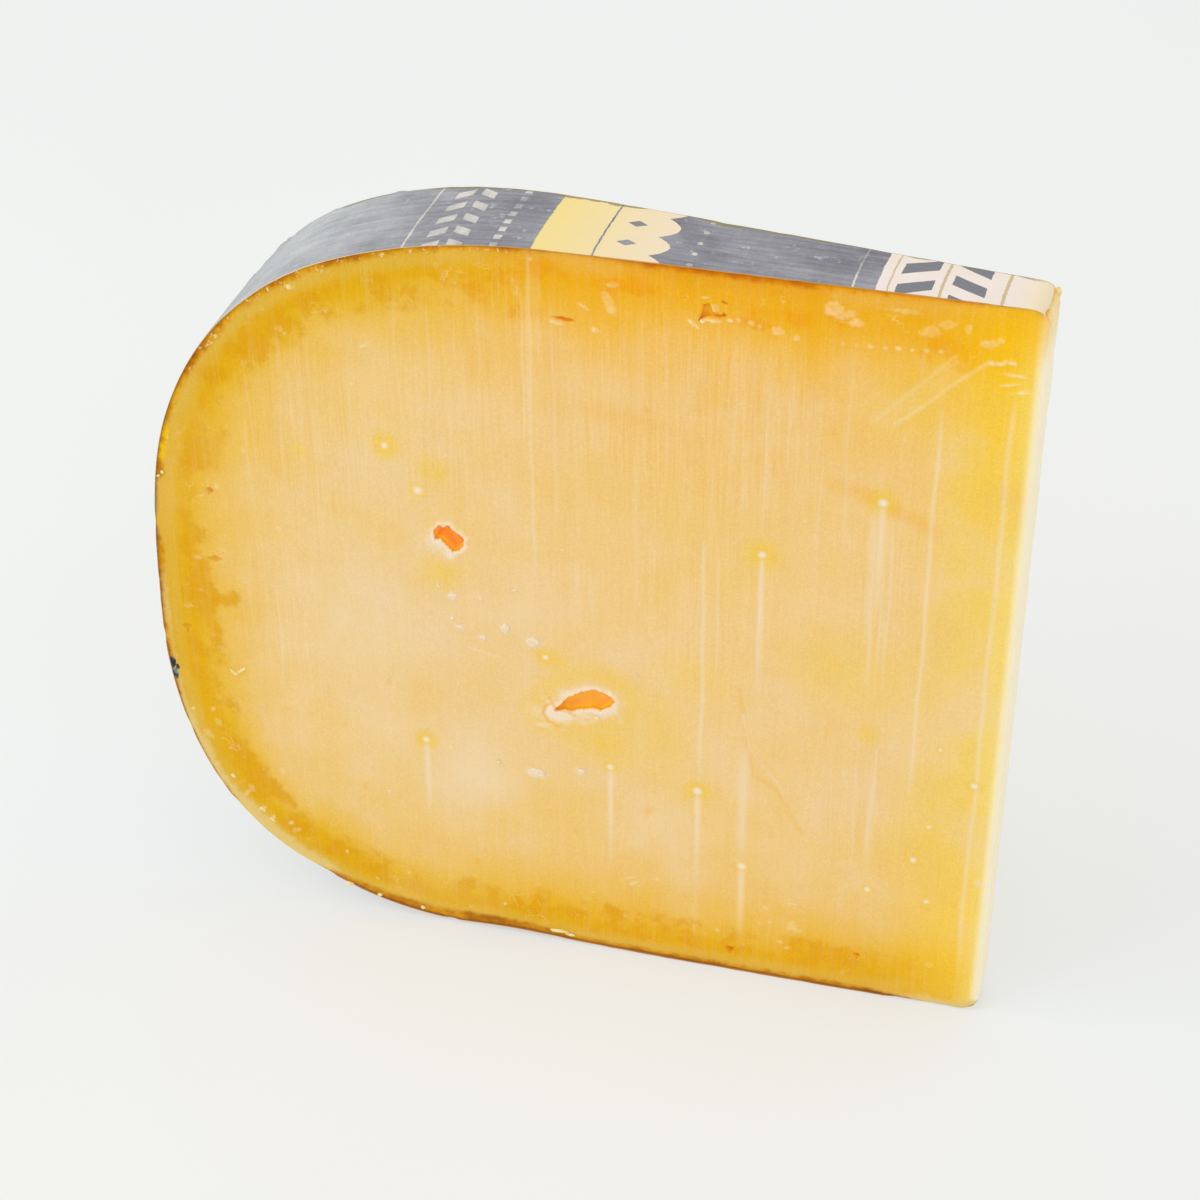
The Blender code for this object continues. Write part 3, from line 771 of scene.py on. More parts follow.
# Edges that turn more than this many degrees are creased.
PASTE_CREASE, COAT_CREASE, GRAIN_CREASE, FLOOR_CREASE = 48, 55, 40, 80
# How the paste's colour changes from the rind inward, at parts of 40 mm: round the rim and
# under the wedge, and near the tip under the label, where it is warmer.
RIM_BANDS = [
    (0.0, "DCA61C"), (0.045, "E0B02E"), (0.0875, "E3AE08"), (0.115, "E4B00C"), (0.15, "E8B72D"),
    (0.20, "EBBD4C"), (0.25, "EDC15E"), (0.325, "EEC676"), (0.42, "EFC97E"), (0.55, "EFCC88"),
    (0.9, "EFCD90"),
]
TOP_BANDS = [
    (0.0, "E49404"), (0.03, "EAA408"), (0.06, "EFAE18"), (0.10, "F0B01A"), (0.15, "F1B42C"),
    (0.20, "F2B942"), (0.25, "F2BD52"), (0.325, "F2C062"), (0.42, "F1C370"), (0.6, "F1C77C"),
    (0.9, "F1CA84"),
]
# Painted glow: the tip's clearer yellow, standing for light shining through the thin tip, from the foot to
# the top.
TIP_GLOW_TONES = [
    (0.0, "EDBC38"), (0.08, "F7C632"), (0.15, "F8CE48"), (0.3, "F5D062"), (0.5, "F3D068"),
    (0.68, "F5D05C"), (0.78, "F8D034"), (0.9, "F9CB1E"), (0.96, "F9C210"), (1.0, "F6B80C"),
]


def make_paste():
    """The paste as one closed mesh: a net over each cut face, and rows of skin between them
    that run round the wheel and over the cut across the tip."""
    line, run = section(PASTE_INSET, SKIN_STEP)
    rim = line - [TIP_EDGE, 0]
    tip = np.arange(rim[-1, 1] + TIP_STEP, rim[0, 1] - 0.3, TIP_STEP)
    tip = worn_corners(np.stack([0 * tip + TIP_EDGE, tip], -1), PASTE_INSET)
    loop = np.concatenate([rim, tip - [TIP_EDGE, 0]])
    at_tip = np.arange(len(loop)) >= len(rim)
    finer_rim, finer_run = section(PASTE_INSET, FINE_STEP)
    finer_rim = finer_rim - [TIP_EDGE, 0]

    coords, faces, marks = [], [], {}
    offset = 0
    for side, patches, relief in (
        (FRONT, front_patches(), front_face),
        (BACK, BACK_PATCHES, back_face),
    ):
        flat, triangles = net_over(loop, NET_STEPS[side], patches)
        under, round_at = under_rind(flat, finer_rim, finer_run)
        into, painted = relief(flat[:, 0], flat[:, 1], under, round_at)
        into += 0.22 * smooth(0.45, 0.0, flat[:, 0])
        into = np.maximum(into, 0.0)
        rounded = flat[:, 0] + 0.2 * smooth(0.5, 0.0, flat[:, 0])
        coords.append(on_face(side, rounded, flat[:, 1], into))
        faces += [tuple(t[::-1] if side == FRONT else t) for t in triangles + offset]
        painted["under_rind"] = under
        for name, values in painted.items():
            marks.setdefault(name, []).append(values)
        offset += len(flat)

    count = len(loop)
    first_back = len(coords[0])
    starts = [0, *[offset + i * count for i in range(STRIP_ROWS - 1)], first_back]
    for a, b in zip(starts, starts[1:]):
        faces += [(a + i, b + i, b + (i + 1) % count, a + (i + 1) % count) for i in range(count)]
    skin_under, skin_run = under_rind(loop, finer_rim, finer_run)
    for row in range(1, STRIP_ROWS):
        coords.append(skin_row(loop, at_tip, row))
        for name, values in marks.items():
            values.append(skin_mark(name, loop, at_tip, row, skin_under, skin_run))

    mesh = bpy.data.meshes.new("paste_cut")
    mesh.from_pydata(np.concatenate(coords).tolist(), [], faces)
    for name, values in marks.items():
        layer = mesh.attributes.new(name, "FLOAT", "POINT")
        layer.data.foreach_set("value", np.concatenate(values).astype(np.float32))
    return finished("paste_cut", mesh, PASTE_CREASE)


def skin_row(loop, at_tip, row):
    """A row of points between the two faces: round the wheel, and over the tip's own cut."""
    turn = HALF_ANGLE * (2 * row / STRIP_ROWS - 1)
    width = np.full(len(loop), TIP_RADIUS * math.tan(turn))
    radius = loop[:, 0] + TIP_EDGE
    tip_x = AXIS_X - TIP_RADIUS - loop[:, 0] + tip_relief(width, loop[:, 1])
    x = np.where(at_tip, tip_x, AXIS_X - radius * np.cos(turn))
    y = np.where(at_tip, width, radius * np.sin(turn))
    return np.stack([x, y, loop[:, 1]], -1) * MM


def skin_mark(name, loop, at_tip, row, under, run):
    """One of the paste's marks along a row of its skin."""
    if name == "under_rind":
        return under
    if name == "rust":
        return rust_line(run)
    if name == "bare":
        return bare_line(run)
    if name == "dry":
        return np.where(at_tip, tip_dryness(loop, row), 0.0)
    return np.zeros(len(loop))


def tip_relief(width, up):
    """How far the cut across the tip stands out, in mm: 0 at most. It dried a little uneven."""
    lumps = 0.5 + 0.5 * mottle(width + 40, up, (1.4, 3.8), 61)
    waves = 0.05 * mottle(width + 40, up, (0.8, 30), 62)
    torn = np.maximum(mottle(width + 40, up, (1.1, 2.2), 63) - 0.45, 0)
    return np.minimum(-0.18 + 0.12 * lumps + waves - 0.35 * torn, 0.0)


def tip_dryness(loop, row):
    """How dry and pale the tip's own cut is, more so towards its far edge."""
    turn = HALF_ANGLE * (2 * row / STRIP_ROWS - 1)
    width = np.full(len(loop), TIP_RADIUS * math.tan(turn))
    streaks = 0.5 + 0.5 * mottle(width + 40, loop[:, 1], (0.7, 34), 64)
    lumps = 0.5 + 0.5 * mottle(width + 40, loop[:, 1], (1.5, 3.5), 65)
    return 0.05 + 0.25 * row / STRIP_ROWS + 0.45 * streaks + 0.2 * lumps


def front_patches():
    """The fine patches of the shown face, with one for every pinhead, drag and fleck."""
    found = []
    for at, high, low, width, _ in DRAGS:
        middle, tall = (at, 0.5 * (high + low)), 0.5 * (high - low)
        found.append((middle, (1.1 * width + 0.1, tall), 0, LINE_STEP))
    for at, height, _, _, length in PINHEADS:
        if length:
            middle = (at, height - 0.5 * length)
            found.append((middle, (0.9, 0.5 * length), 0, LINE_STEP))
    for line, width, _ in SCRATCHES:
        for (a, u), (b, v) in zip(line, line[1:]):
            long = math.hypot(b - a, v - u)
            turn = -math.degrees(math.atan2(v - u, b - a))
            middle = (0.5 * (a + b), 0.5 * (u + v))
            found.append((middle, (0.5 * long + 0.2, width + 0.15), turn, SCRATCH_STEP))
    for at, height, dot, *_ in PINHEADS:
        if dot:
            found.append(((at, height), (1.5 * dot + 0.2, 1.5 * dot + 0.2), 0, DOT_STEP))
    for at, height, width, tall, *_ in CRYSTALS:
        found.append(((at, height), (1.9 * width, 1.9 * tall), 0, BED_STEP))
    for at, height, width, tall, turn, _ in FLECKS:
        found.append(((at, height), (1.2 * width + 0.2, 1.2 * tall + 0.2), turn, FLECK_STEP))
    return found + FINE_PATCHES


def finished(name, mesh, sharp_over):
    """The mesh as a smooth-shaded object, with creases where it turns sharply."""
    mesh.validate()
    mesh.shade_smooth()
    mesh.set_sharp_from_angle(angle=math.radians(sharp_over))
    piece = bpy.data.objects.new(name, mesh)
    bpy.context.scene.collection.objects.link(piece)
    return piece


def paste_material():
    """Paste of a hard cheese aged over a year, cut with a dry knife. Waxy fat makes it a
    little translucent and satin; the drier skin under the rind is clearer and deeper amber;
    nicks in the blade leave fine upright lines, and protein grain a faint mottle."""
    made, tree, shader = new_material(
        "knife_cut_aged_paste",
        IOR=1.46,
        Specular_IOR_Level=0.05,
        Subsurface_Scale=0.003,
        Subsurface_Radius=(1.0, 0.55, 0.16),
    )
    node = partial(add, tree)
    place = node("TexCoord").outputs["Object"]
    in_mm = node("VectorMath SCALE", place, Scale=1 / MM)
    spread = node("SeparateXYZ", in_mm)
    along = node("Math SUBTRACT", AXIS_X - TIP_RADIUS, spread.outputs["X"])
    up = spread.outputs["Z"]
    under, hollow, dry, moist, amber, deep, combed_here, rust, bare = (
        node("Attribute " + name).outputs["Fac"]
        for name in ("under_rind", "hollow", "dry", "moist", "amber", "deep", "combed", "rust", "bare")
    )

    # Moisture has crept unevenly from the rind: clouds 9 mm across shift the bands by 2 mm.
    clouds = node("TexNoise", in_mm, Scale=1 / 9, Detail=5.0, Roughness=0.55)
    shift = node("MapRange", clouds, 0.3, 0.7, -2.4, 2.4)
    calm = node("MapRange", under, 0.5, 8.0, 0.0, 1.0)
    band = node("Math MULTIPLY_ADD", shift, calm, under)
    band = node("Math MULTIPLY", band, 1 / 40)
    rim_side = node("ValToRGB", band, stops=RIM_BANDS)
    tip_side = node("ValToRGB", band, stops=TOP_BANDS)
    toward_tip = node("MapRange SMOOTHSTEP", along, 80.0, 50.0, 0.0, 1.0)
    high_up = node("MapRange SMOOTHSTEP", up, 30.0, 85.0, 0.3, 1.0)
    sunny = node("Math MULTIPLY", toward_tip, high_up)
    colour = node("Mix RGBA", sunny, rim_side, tip_side)

    # The outer 3 mm are cloudy and yellower; then a belt of clear, deeper blotches whose
    # edges are crisp, broken up by noise 3 mm and finer.
    skin = node("MapRange SMOOTHSTEP", under, 3.4, 1.2, 0.0, 1.0)
    cloudy = node("MapRange SMOOTHSTEP", clouds, 0.40, 0.60, 0.1, 0.75)
    cloudy = node("Math MULTIPLY", cloudy, skin)
    cloudy_tone = node("Mix RGBA", sunny, "DFB648", "EEB444")
    colour = node("Mix RGBA", cloudy, colour, cloudy_tone)
    blots = node("TexNoise", in_mm, Scale=1 / 3.5, Detail=6.0, Roughness=0.62)
    blot = node("Math MULTIPLY_ADD", blots, 3.0, deep)
    soft_blot = node("MapRange SMOOTHSTEP", blot, 1.55, 2.45, 0.0, 0.62)
    crisp_blot = node("MapRange SMOOTHSTEP", blot, 1.92, 2.12, 0.0, 0.24)
    blot = node("Math ADD", soft_blot, crisp_blot)
    blot = node("Math MULTIPLY", blot, node("MapRange", deep, 0.02, 0.3, 0.0, 1.0))
    clear_tone = node("Mix RGBA", sunny, "E0A202", "F0A302")
    colour = node("Mix RGBA", blot, colour, clear_tone)

    # Painted glow: the thin tip lets light through, and its clearer yellow, palest at its edge, is painted
    # in to stand for that light.
    painted_tip_glow = node("MapRange SMOOTHSTEP", along, 16.0, 2.5, 0.0, 0.9)
    height = node("Math MULTIPLY", up, 1 / WHEEL_HEIGHT)
    tip_glow_tone = node("ValToRGB", height, stops=TIP_GLOW_TONES)
    colour = node("Mix RGBA", painted_tip_glow, colour, tip_glow_tone)

    # Painted glow: paler yellow within 4 mm of the tip's edge, where light comes through thinnest.
    thin_edge_glow = node("MapRange SMOOTHSTEP", along, 4.2, 1.0, 0.0, 0.55)
    lower = node("MapRange SMOOTHSTEP", up, 108.0, 96.0, 0.25, 1.0)
    colour = node("Mix RGBA", node("Math MULTIPLY", thin_edge_glow, lower), colour, "F7E07E")

    # Soft clouds of paler, drier paste and of yellower paste, 18 mm across.
    wide = node("TexNoise", in_mm, Scale=1 / 18, Detail=3.0)
    inside = node("MapRange SMOOTHSTEP", under, 5.0, 20.0, 0.0, 1.0)
    pale_cloud = node("MapRange", wide, 0.52, 0.74, 0.0, 0.35)
    pale_cloud = node("Math MULTIPLY", pale_cloud, inside)
    colour = node("Mix RGBA", pale_cloud, colour, "EFD2A6")
    yellow_cloud = node("MapRange", wide, 0.46, 0.28, 0.0, 0.4)
    colour = node("Mix RGBA", yellow_cloud, colour, "F0C566")
    for full, tone in ((0.68, "F1D2A8"), (0.32, "EEC468")):
        patchy = node("MapRange", clouds, 0.5, full, 0.0, 0.3)
        patchy = node("Math MULTIPLY", patchy, inside)
        colour = node("Mix RGBA", patchy, colour, tone)
    for mark, tone in ((moist, "F1C94E"), (amber, "F0B030")):
        colour = node("Mix RGBA", mark, colour, tone)

    # Lines from the blade's nicks, 0.25 mm wide and some 8 mm long, and wider ones between
    # them that run on for 40 mm.
    combed = node("VectorMath MULTIPLY", in_mm, (1 / 0.25, 1 / 0.25, 1 / 8))
    combed = node("TexNoise", combed, Scale=1.0, Detail=2.0, Roughness=0.6)
    combed_wide = node("VectorMath MULTIPLY", in_mm, (1 / 1.2, 1 / 1.2, 1 / 40))
    combed_wide = node("TexNoise", combed_wide, Scale=1.0, Detail=2.0, Roughness=0.6)
    firm = node("MapRange", blots, 0.35, 0.65, 0.6, 1.0)
    firm = node("Math MULTIPLY", firm, node("MapRange", combed_here, 0.0, 1.0, 0.32, 1.0))
    for lines, reach in ((combed, 0.38), (combed_wide, 0.2)):
        for faint, full, tone in ((0.50, 0.78, "F8DDB0"), (0.48, 0.22, "E8AC48")):
            line = node("MapRange", lines, faint, full, 0.0, reach)
            line = node("Math MULTIPLY", line, firm)
            colour = node("Mix RGBA", line, colour, tone)

    # Protein grain 0.3 mm across, with stray paler grains away from the clear belt.
    grain = node("TexNoise", in_mm, Scale=1 / 0.3, Detail=2.0, Roughness=0.6)
    speckle = node("MapRange", grain, 0.3, 0.7, 0.95, 1.035)
    colour = node("VectorMath MULTIPLY", colour, speckle)
    stray = node("TexNoise", in_mm, Scale=1 / 0.7, Detail=2.0, Roughness=0.7)
    stray = node("MapRange", stray, 0.64, 0.76, 0.0, 0.28)
    stray = node("Math MULTIPLY", stray, inside)
    colour = node("Mix RGBA", stray, colour, "F6E4C8")

    # Where the paste is short it crumbles under the knife: lumps 1 mm across, edged pale.
    lumps = node("TexNoise", in_mm, Scale=1 / 1.6, Detail=2.0, Roughness=0.5)
    off_level = node("Math ABSOLUTE", node("Math SUBTRACT", lumps, 0.56))
    seam = node("MapRange", off_level, 0.006, 0.03, 1.0, 0.0)
    short = node("TexNoise", in_mm, Scale=1 / 4, Detail=3.0, Roughness=0.6)
    short = node("MapRange SMOOTHSTEP", short, 0.56, 0.66, 0.0, 1.0)
    belt_short = node("Math MULTIPLY", under, 1 / 20)
    belt_short = node("ValToRGB", belt_short, stops=[(0.05, 0.0), (0.14, 0.8), (0.36, 0.8), (0.55, 0.0)])
    crumbled = node("Math MULTIPLY", short, belt_short)
    seam = node("Math MULTIPLY", seam, crumbled)
    colour = node("Mix RGBA", node("Math MULTIPLY", seam, 0.35), colour, "F7DFA8")

    dry_tone = node("Mix RGBA", inside, "F8DFA6", "F3E1C8")
    colour = node("Mix RGBA", dry, colour, dry_tone)
    # The tip's own cut, near white: partly its dried paste, partly a painted highlight, the glare of the
    # light from the right.
    tip_cut_dried_and_lit = node("MapRange SMOOTHSTEP", along, 1.7, 0.2, 0.0, 0.9)
    not_top = node("MapRange SMOOTHSTEP", up, 108.5, 101.0, 0.35, 1.0)
    tip_cut_dried_and_lit = node("Math MULTIPLY", tip_cut_dried_and_lit, not_top)
    colour = node("Mix RGBA", tip_cut_dried_and_lit, colour, "FCF2D6")
    # Painted glow: the insides of eyes and cracks get the paste's deeper orange, brightened to stand for
    # light that crossed the paste, and yellower on the walls.
    glowing_wall_tones = [(0.0, "F4BC3C"), (0.25, "E89E1C"), (0.5, "FFC434"), (0.8, "FFB84C"), (1.0, "FF9E42")]
    inner = node("ValToRGB", hollow, stops=glowing_wall_tones)
    open_now = node("MapRange", hollow, 0.02, 0.22, 0.0, 1.0)
    colour = node("Mix RGBA", open_now, colour, inner)

    # Where little rind is left, the outermost paste is pale, a little greenish and lumpy.
    fray = node("TexNoise", in_mm, Scale=1 / 1.3, Detail=4.0, Roughness=0.6)
    fray_by = node("MapRange", fray, 0.3, 0.7, -0.45, 0.45)
    bare_depth = node("Math SUBTRACT", bare, node("Math ADD", under, fray_by))
    bared = node("MapRange SMOOTHSTEP", bare_depth, -0.5, 0.7, 0.0, 0.9)
    colour = node("Mix RGBA", bared, colour, "E5C77C")

    # The rind itself: up to a millimetre of rusty amber that fades inward, browner in flecks.
    fray_by = node("MapRange", fray, 0.3, 0.7, -0.22, 0.22)
    line_depth = node("Math ADD", under, fray_by)
    line_depth = node("Math SUBTRACT", rust, line_depth)
    rind = node("MapRange SMOOTHSTEP", line_depth, -0.3, 0.6, 0.0, 1.0)
    rusty = node("Math MULTIPLY_ADD", fray, 0.35, node("Math MULTIPLY", clouds, 0.65))
    rim_tones = [(0.40, "B86E06"), (0.48, "D08806"), (0.58, "E6A810")]
    sunny_tones = [(0.40, "CE7204"), (0.5, "E48C04"), (0.58, "F0A008")]
    foot_tones = [(0.40, "AC6A12"), (0.5, "C88418"), (0.58, "DC9C20")]
    foot_side = node("MapRange SMOOTHSTEP", up, 8.0, 3.0, 0.0, 1.0)
    rind_tone = node("ValToRGB", rusty, stops=rim_tones)
    for here, tones in ((sunny, sunny_tones), (foot_side, foot_tones)):
        rind_tone = node("Mix RGBA", here, rind_tone, node("ValToRGB", rusty, stops=tones))
    colour = node("Mix RGBA", rind, colour, rind_tone)
    # Its outermost half millimetre is a brown thread, darkest at the foot.
    thread = node("MapRange SMOOTHSTEP", under, 0.45, 0.05, 0.0, 1.0)
    thread = node("Math MULTIPLY", thread, rind)
    thread = node("Math MULTIPLY", thread, node("Math MULTIPLY_ADD", foot_side, 0.3, 0.18))
    colour = node("Mix RGBA", thread, colour, "9C5410")

    # On the rim's shoulder the crust is broken up by cream specks, and below it a streak of the wheel's
    # clear yellow skin is left, as glossy as varnish; its bright yellow is partly a painted highlight of
    # that gloss.
    specks = node("TexNoise", in_mm, Scale=1 / 0.8, Detail=3.0, Roughness=0.7)
    specks = node("MapRange SMOOTHSTEP", specks, 0.57, 0.66, 0.0, 0.8)
    for place, none, all_over in ((under, 1.5, 0.7), (up, 76.0, 86.0), (along, 56.0, 66.0)):
        there = node("MapRange SMOOTHSTEP", place, none, all_over, 0.0, 1.0)
        specks = node("Math MULTIPLY", specks, there)
    colour = node("Mix RGBA", specks, colour, "F0D8A4")
    varnish_and_glint = node("MapRange SMOOTHSTEP", under, 1.15, 0.75, 0.0, 0.85)
    for none, full in ((71.6, 73.2), (78.6, 76.6)):
        there = node("MapRange SMOOTHSTEP", up, none, full, 0.0, 1.0)
        varnish_and_glint = node("Math MULTIPLY", varnish_and_glint, there)
    varnish_and_glint = node("Math MULTIPLY", varnish_and_glint, node("Math GREATER_THAN", along, 90.0))
    clear_skin_and_glint = node("ValToRGB", fray, stops=[(0.42, "E09A08"), (0.52, "F8C408")])
    colour = node("Mix RGBA", varnish_and_glint, colour, clear_skin_and_glint)
    join(tree, colour, shader, "Base Color")

    # Light that has crossed the paste: more subsurface scattering in the eyes, and a painted glow, a faint
    # orange emission from their insides.
    join(tree, node("Math MULTIPLY_ADD", hollow, 0.8, 0.15), shader, "Subsurface Weight")
    painted_glow = node("MapRange SMOOTHSTEP", hollow, 0.4, 1.0, 0.0, 0.14)
    join(tree, painted_glow, shader, "Emission Strength")
    shader.inputs["Emission Color"].default_value = linear("FF8020")
    gloss = node("MapRange", combed, 0.3, 0.7, 0.40, 0.52)
    gloss = node("Math MULTIPLY_ADD", dry, 0.25, gloss)
    gloss = node("Math MULTIPLY_ADD", moist, -0.08, gloss)
    gloss = node("Math MULTIPLY_ADD", varnish_and_glint, -0.2, gloss)
    join(tree, gloss, shader, "Roughness")

    ridges = node("Math MULTIPLY", combed, firm)
    ridges = node("Math MULTIPLY_ADD", grain, 0.8, ridges)
    ridges = node("Math MULTIPLY_ADD", combed_wide, 0.6, ridges)
    ridges = node("Math MULTIPLY_ADD", lumps, crumbled, ridges)
    bump = node("Bump", Height=ridges, Strength=0.7, Distance=0.00006)
    join(tree, bump, shader, "Normal")
    return made


# ---------------------------------------------------------------- the coat

COAT_ROWS = 30
# The colour of the coat's cut edge from the foot to the top, in parts of the wheel's height.
EDGE_TONES = [
    (0.0, "BC7C26"), (0.05, "C89030"), (0.1, "E0C46C"), (0.2, "D8B04E"), (0.32, "CFA13A"),
    (0.44, "C08850"), (0.52, "CC9A48"), (0.6, "D9AB39"), (0.7, "D8A430"), (0.78, "D09024"),
    (0.86, "CC8C24"), (0.9, "E2C8A4"), (0.97, "E2C8A4"), (1.0, "C48A30"),
]


def make_coat():
    """A thin shell over the top, round the rim and under the wedge. Its cut edges are a
    little ragged, and its skin keeps the brush's waves."""
    line, run = section(0.0, COAT_STEP)
    inner, _ = section(COAT_THICKNESS, COAT_STEP)
    fraction = np.linspace(-1, 1, COAT_ROWS + 1)
    fraction = np.array([-1, -0.992, -0.97, *fraction[1:-1], 0.97, 0.992, 1])
    skins = []
    edge_gap = []
    for skin, path in enumerate((line, inner)):
        rows = []
        for f in fraction:
            side = FRONT if f < 0 else BACK
            radius = path[:, 0]
            fray = ragged_edge(run, side) / radius
            turn = f * (HALF_ANGLE - fray)
            swell = skin_waves(run, f * radius * HALF_ANGLE) * (1 - skin)
            x = AXIS_X - radius * np.cos(turn)
            x[0] = AXIS_X - radius[0] * math.cos(HALF_ANGLE) - 0.05 - 0.12 * abs(f)
            x[-1] = AXIS_X - TIP_RADIUS - 2.6 - 0.3 * math.cos(9 * f)
            ahead = np.gradient(path, axis=0)
            ahead /= np.linalg.norm(ahead, axis=1, keepdims=True)
            inward = np.stack([ahead[:, 1], -ahead[:, 0]], -1)
            x -= inward[:, 0] * swell
            rows.append(np.stack([x, radius * np.sin(turn), path[:, 1] + inward[:, 1] * swell], -1))
            if skin == 0:
                edge_gap.append((1 - abs(f)) * radius * HALF_ANGLE)
        skins.append(np.stack(rows))
    edge_gap = np.stack(edge_gap)
    rows, count = edge_gap.shape
    index = np.arange(rows * count).reshape(rows, count)
    faces = []
    for flip, shift in ((False, 0), (True, rows * count)):
        quads = np.stack([index[:-1, :-1], index[:-1, 1:], index[1:, 1:], index[1:, :-1]], -1)
        quads = quads.reshape(-1, 4) + shift
        faces += [tuple(q[::-1] if flip else q) for q in quads]
    border = [*index[0, :], *index[1:, -1], *index[-1, -2::-1], *index[-2:0:-1, 0]]
    for a, b in zip(border, [*border[1:], border[0]]):
        faces.append((b, a, a + rows * count, b + rows * count))
    mesh = bpy.data.meshes.new("coat_brushed")
    mesh.from_pydata((np.concatenate([s.reshape(-1, 3) for s in skins]) * MM).tolist(), [], faces)
    layer = mesh.attributes.new("from_edge", "FLOAT", "POINT")
    layer.data.foreach_set("value", np.concatenate([edge_gap.ravel()] * 2).astype(np.float32))
    fix_winding(mesh)
    return finished("coat_brushed", mesh, COAT_CREASE)


def fix_winding(mesh):
    """Turns every face of a closed mesh outward."""
    bm = bmesh.new()
    bm.from_mesh(mesh)
    bmesh.ops.recalc_face_normals(bm, faces=bm.faces)
    bm.to_mesh(mesh)
    bm.free()


def ragged_edge(run, side):
    """How far the coat stops short of a cut, in mm."""
    seed = 81 if side == FRONT else 84
    small = 0.5 + 0.5 * mottle(run, 0 * run, 1.6, seed)
    long = 0.5 + 0.5 * mottle(run, 0 * run, 9.0, seed + 1)
    chips = np.maximum(mottle(run, 0 * run, 3.1, seed + 2) - 0.45, 0)
    worn = 1.3 * smooth(186, 193, run) * smooth(206, 202, run) + 0.9 * smooth(284, 290, run)
    return 0.03 + 0.14 * small * long + 0.5 * chips * smooth(30, 50, run) + worn


# Lumps and blisters in the coat: how far round the section, across, size, height.
COAT_LUMPS = (
    (101.0, 8.0, 0.9, 0.30), (109.5, 8.6, 0.8, 0.26), (92.5, 7.4, 1.3, 0.22), (96.0, -3.0, 1.2, 0.10),
    (87.0, 1.5, 1.6, 0.10), (105.0, 2.0, 1.4, 0.12), (113.0, -4.5, 0.9, 0.14), (121.0, 7.4, 0.7, 0.22),
    (117.0, 3.5, 1.5, 0.12), (84.0, -5.5, 0.8, 0.10), (77.0, 4.6, 0.9, 0.08), (129.0, 1.0, 1.1, 0.12),
)


def skin_waves(run, width):
    """How far the coat's skin lies under its true surface, in mm."""
    brush = 0.03 + 0.03 * mottle(run, width + 30, (9.0, 1.4), 86)
    dents = 0.06 * np.maximum(mottle(run, width + 30, (3.2, 2.6), 87) - 0.3, 0)
    dips = 0.05 + 0.05 * mottle(run, width + 30, (16, 9), 88)
    lumps = 0 * run
    for at, across, size, height in COAT_LUMPS:
        lumps += height * smooth(size, 0.2 * size, np.hypot(run - at, width - across))
    # Beyond the top, toward the far cut, drips and shelf marks left the coat knobbly.
    knobbly = smooth(70, 80, run) * smooth(130, 120, run) * smooth(3.5, 7.0, width)
    lumps += 0.34 * knobbly * np.maximum(mottle(run, width + 30, (2.3, 1.8), 89) - 0.05, 0)
    return np.minimum(brush + dents + dips, 0.11) - lumps


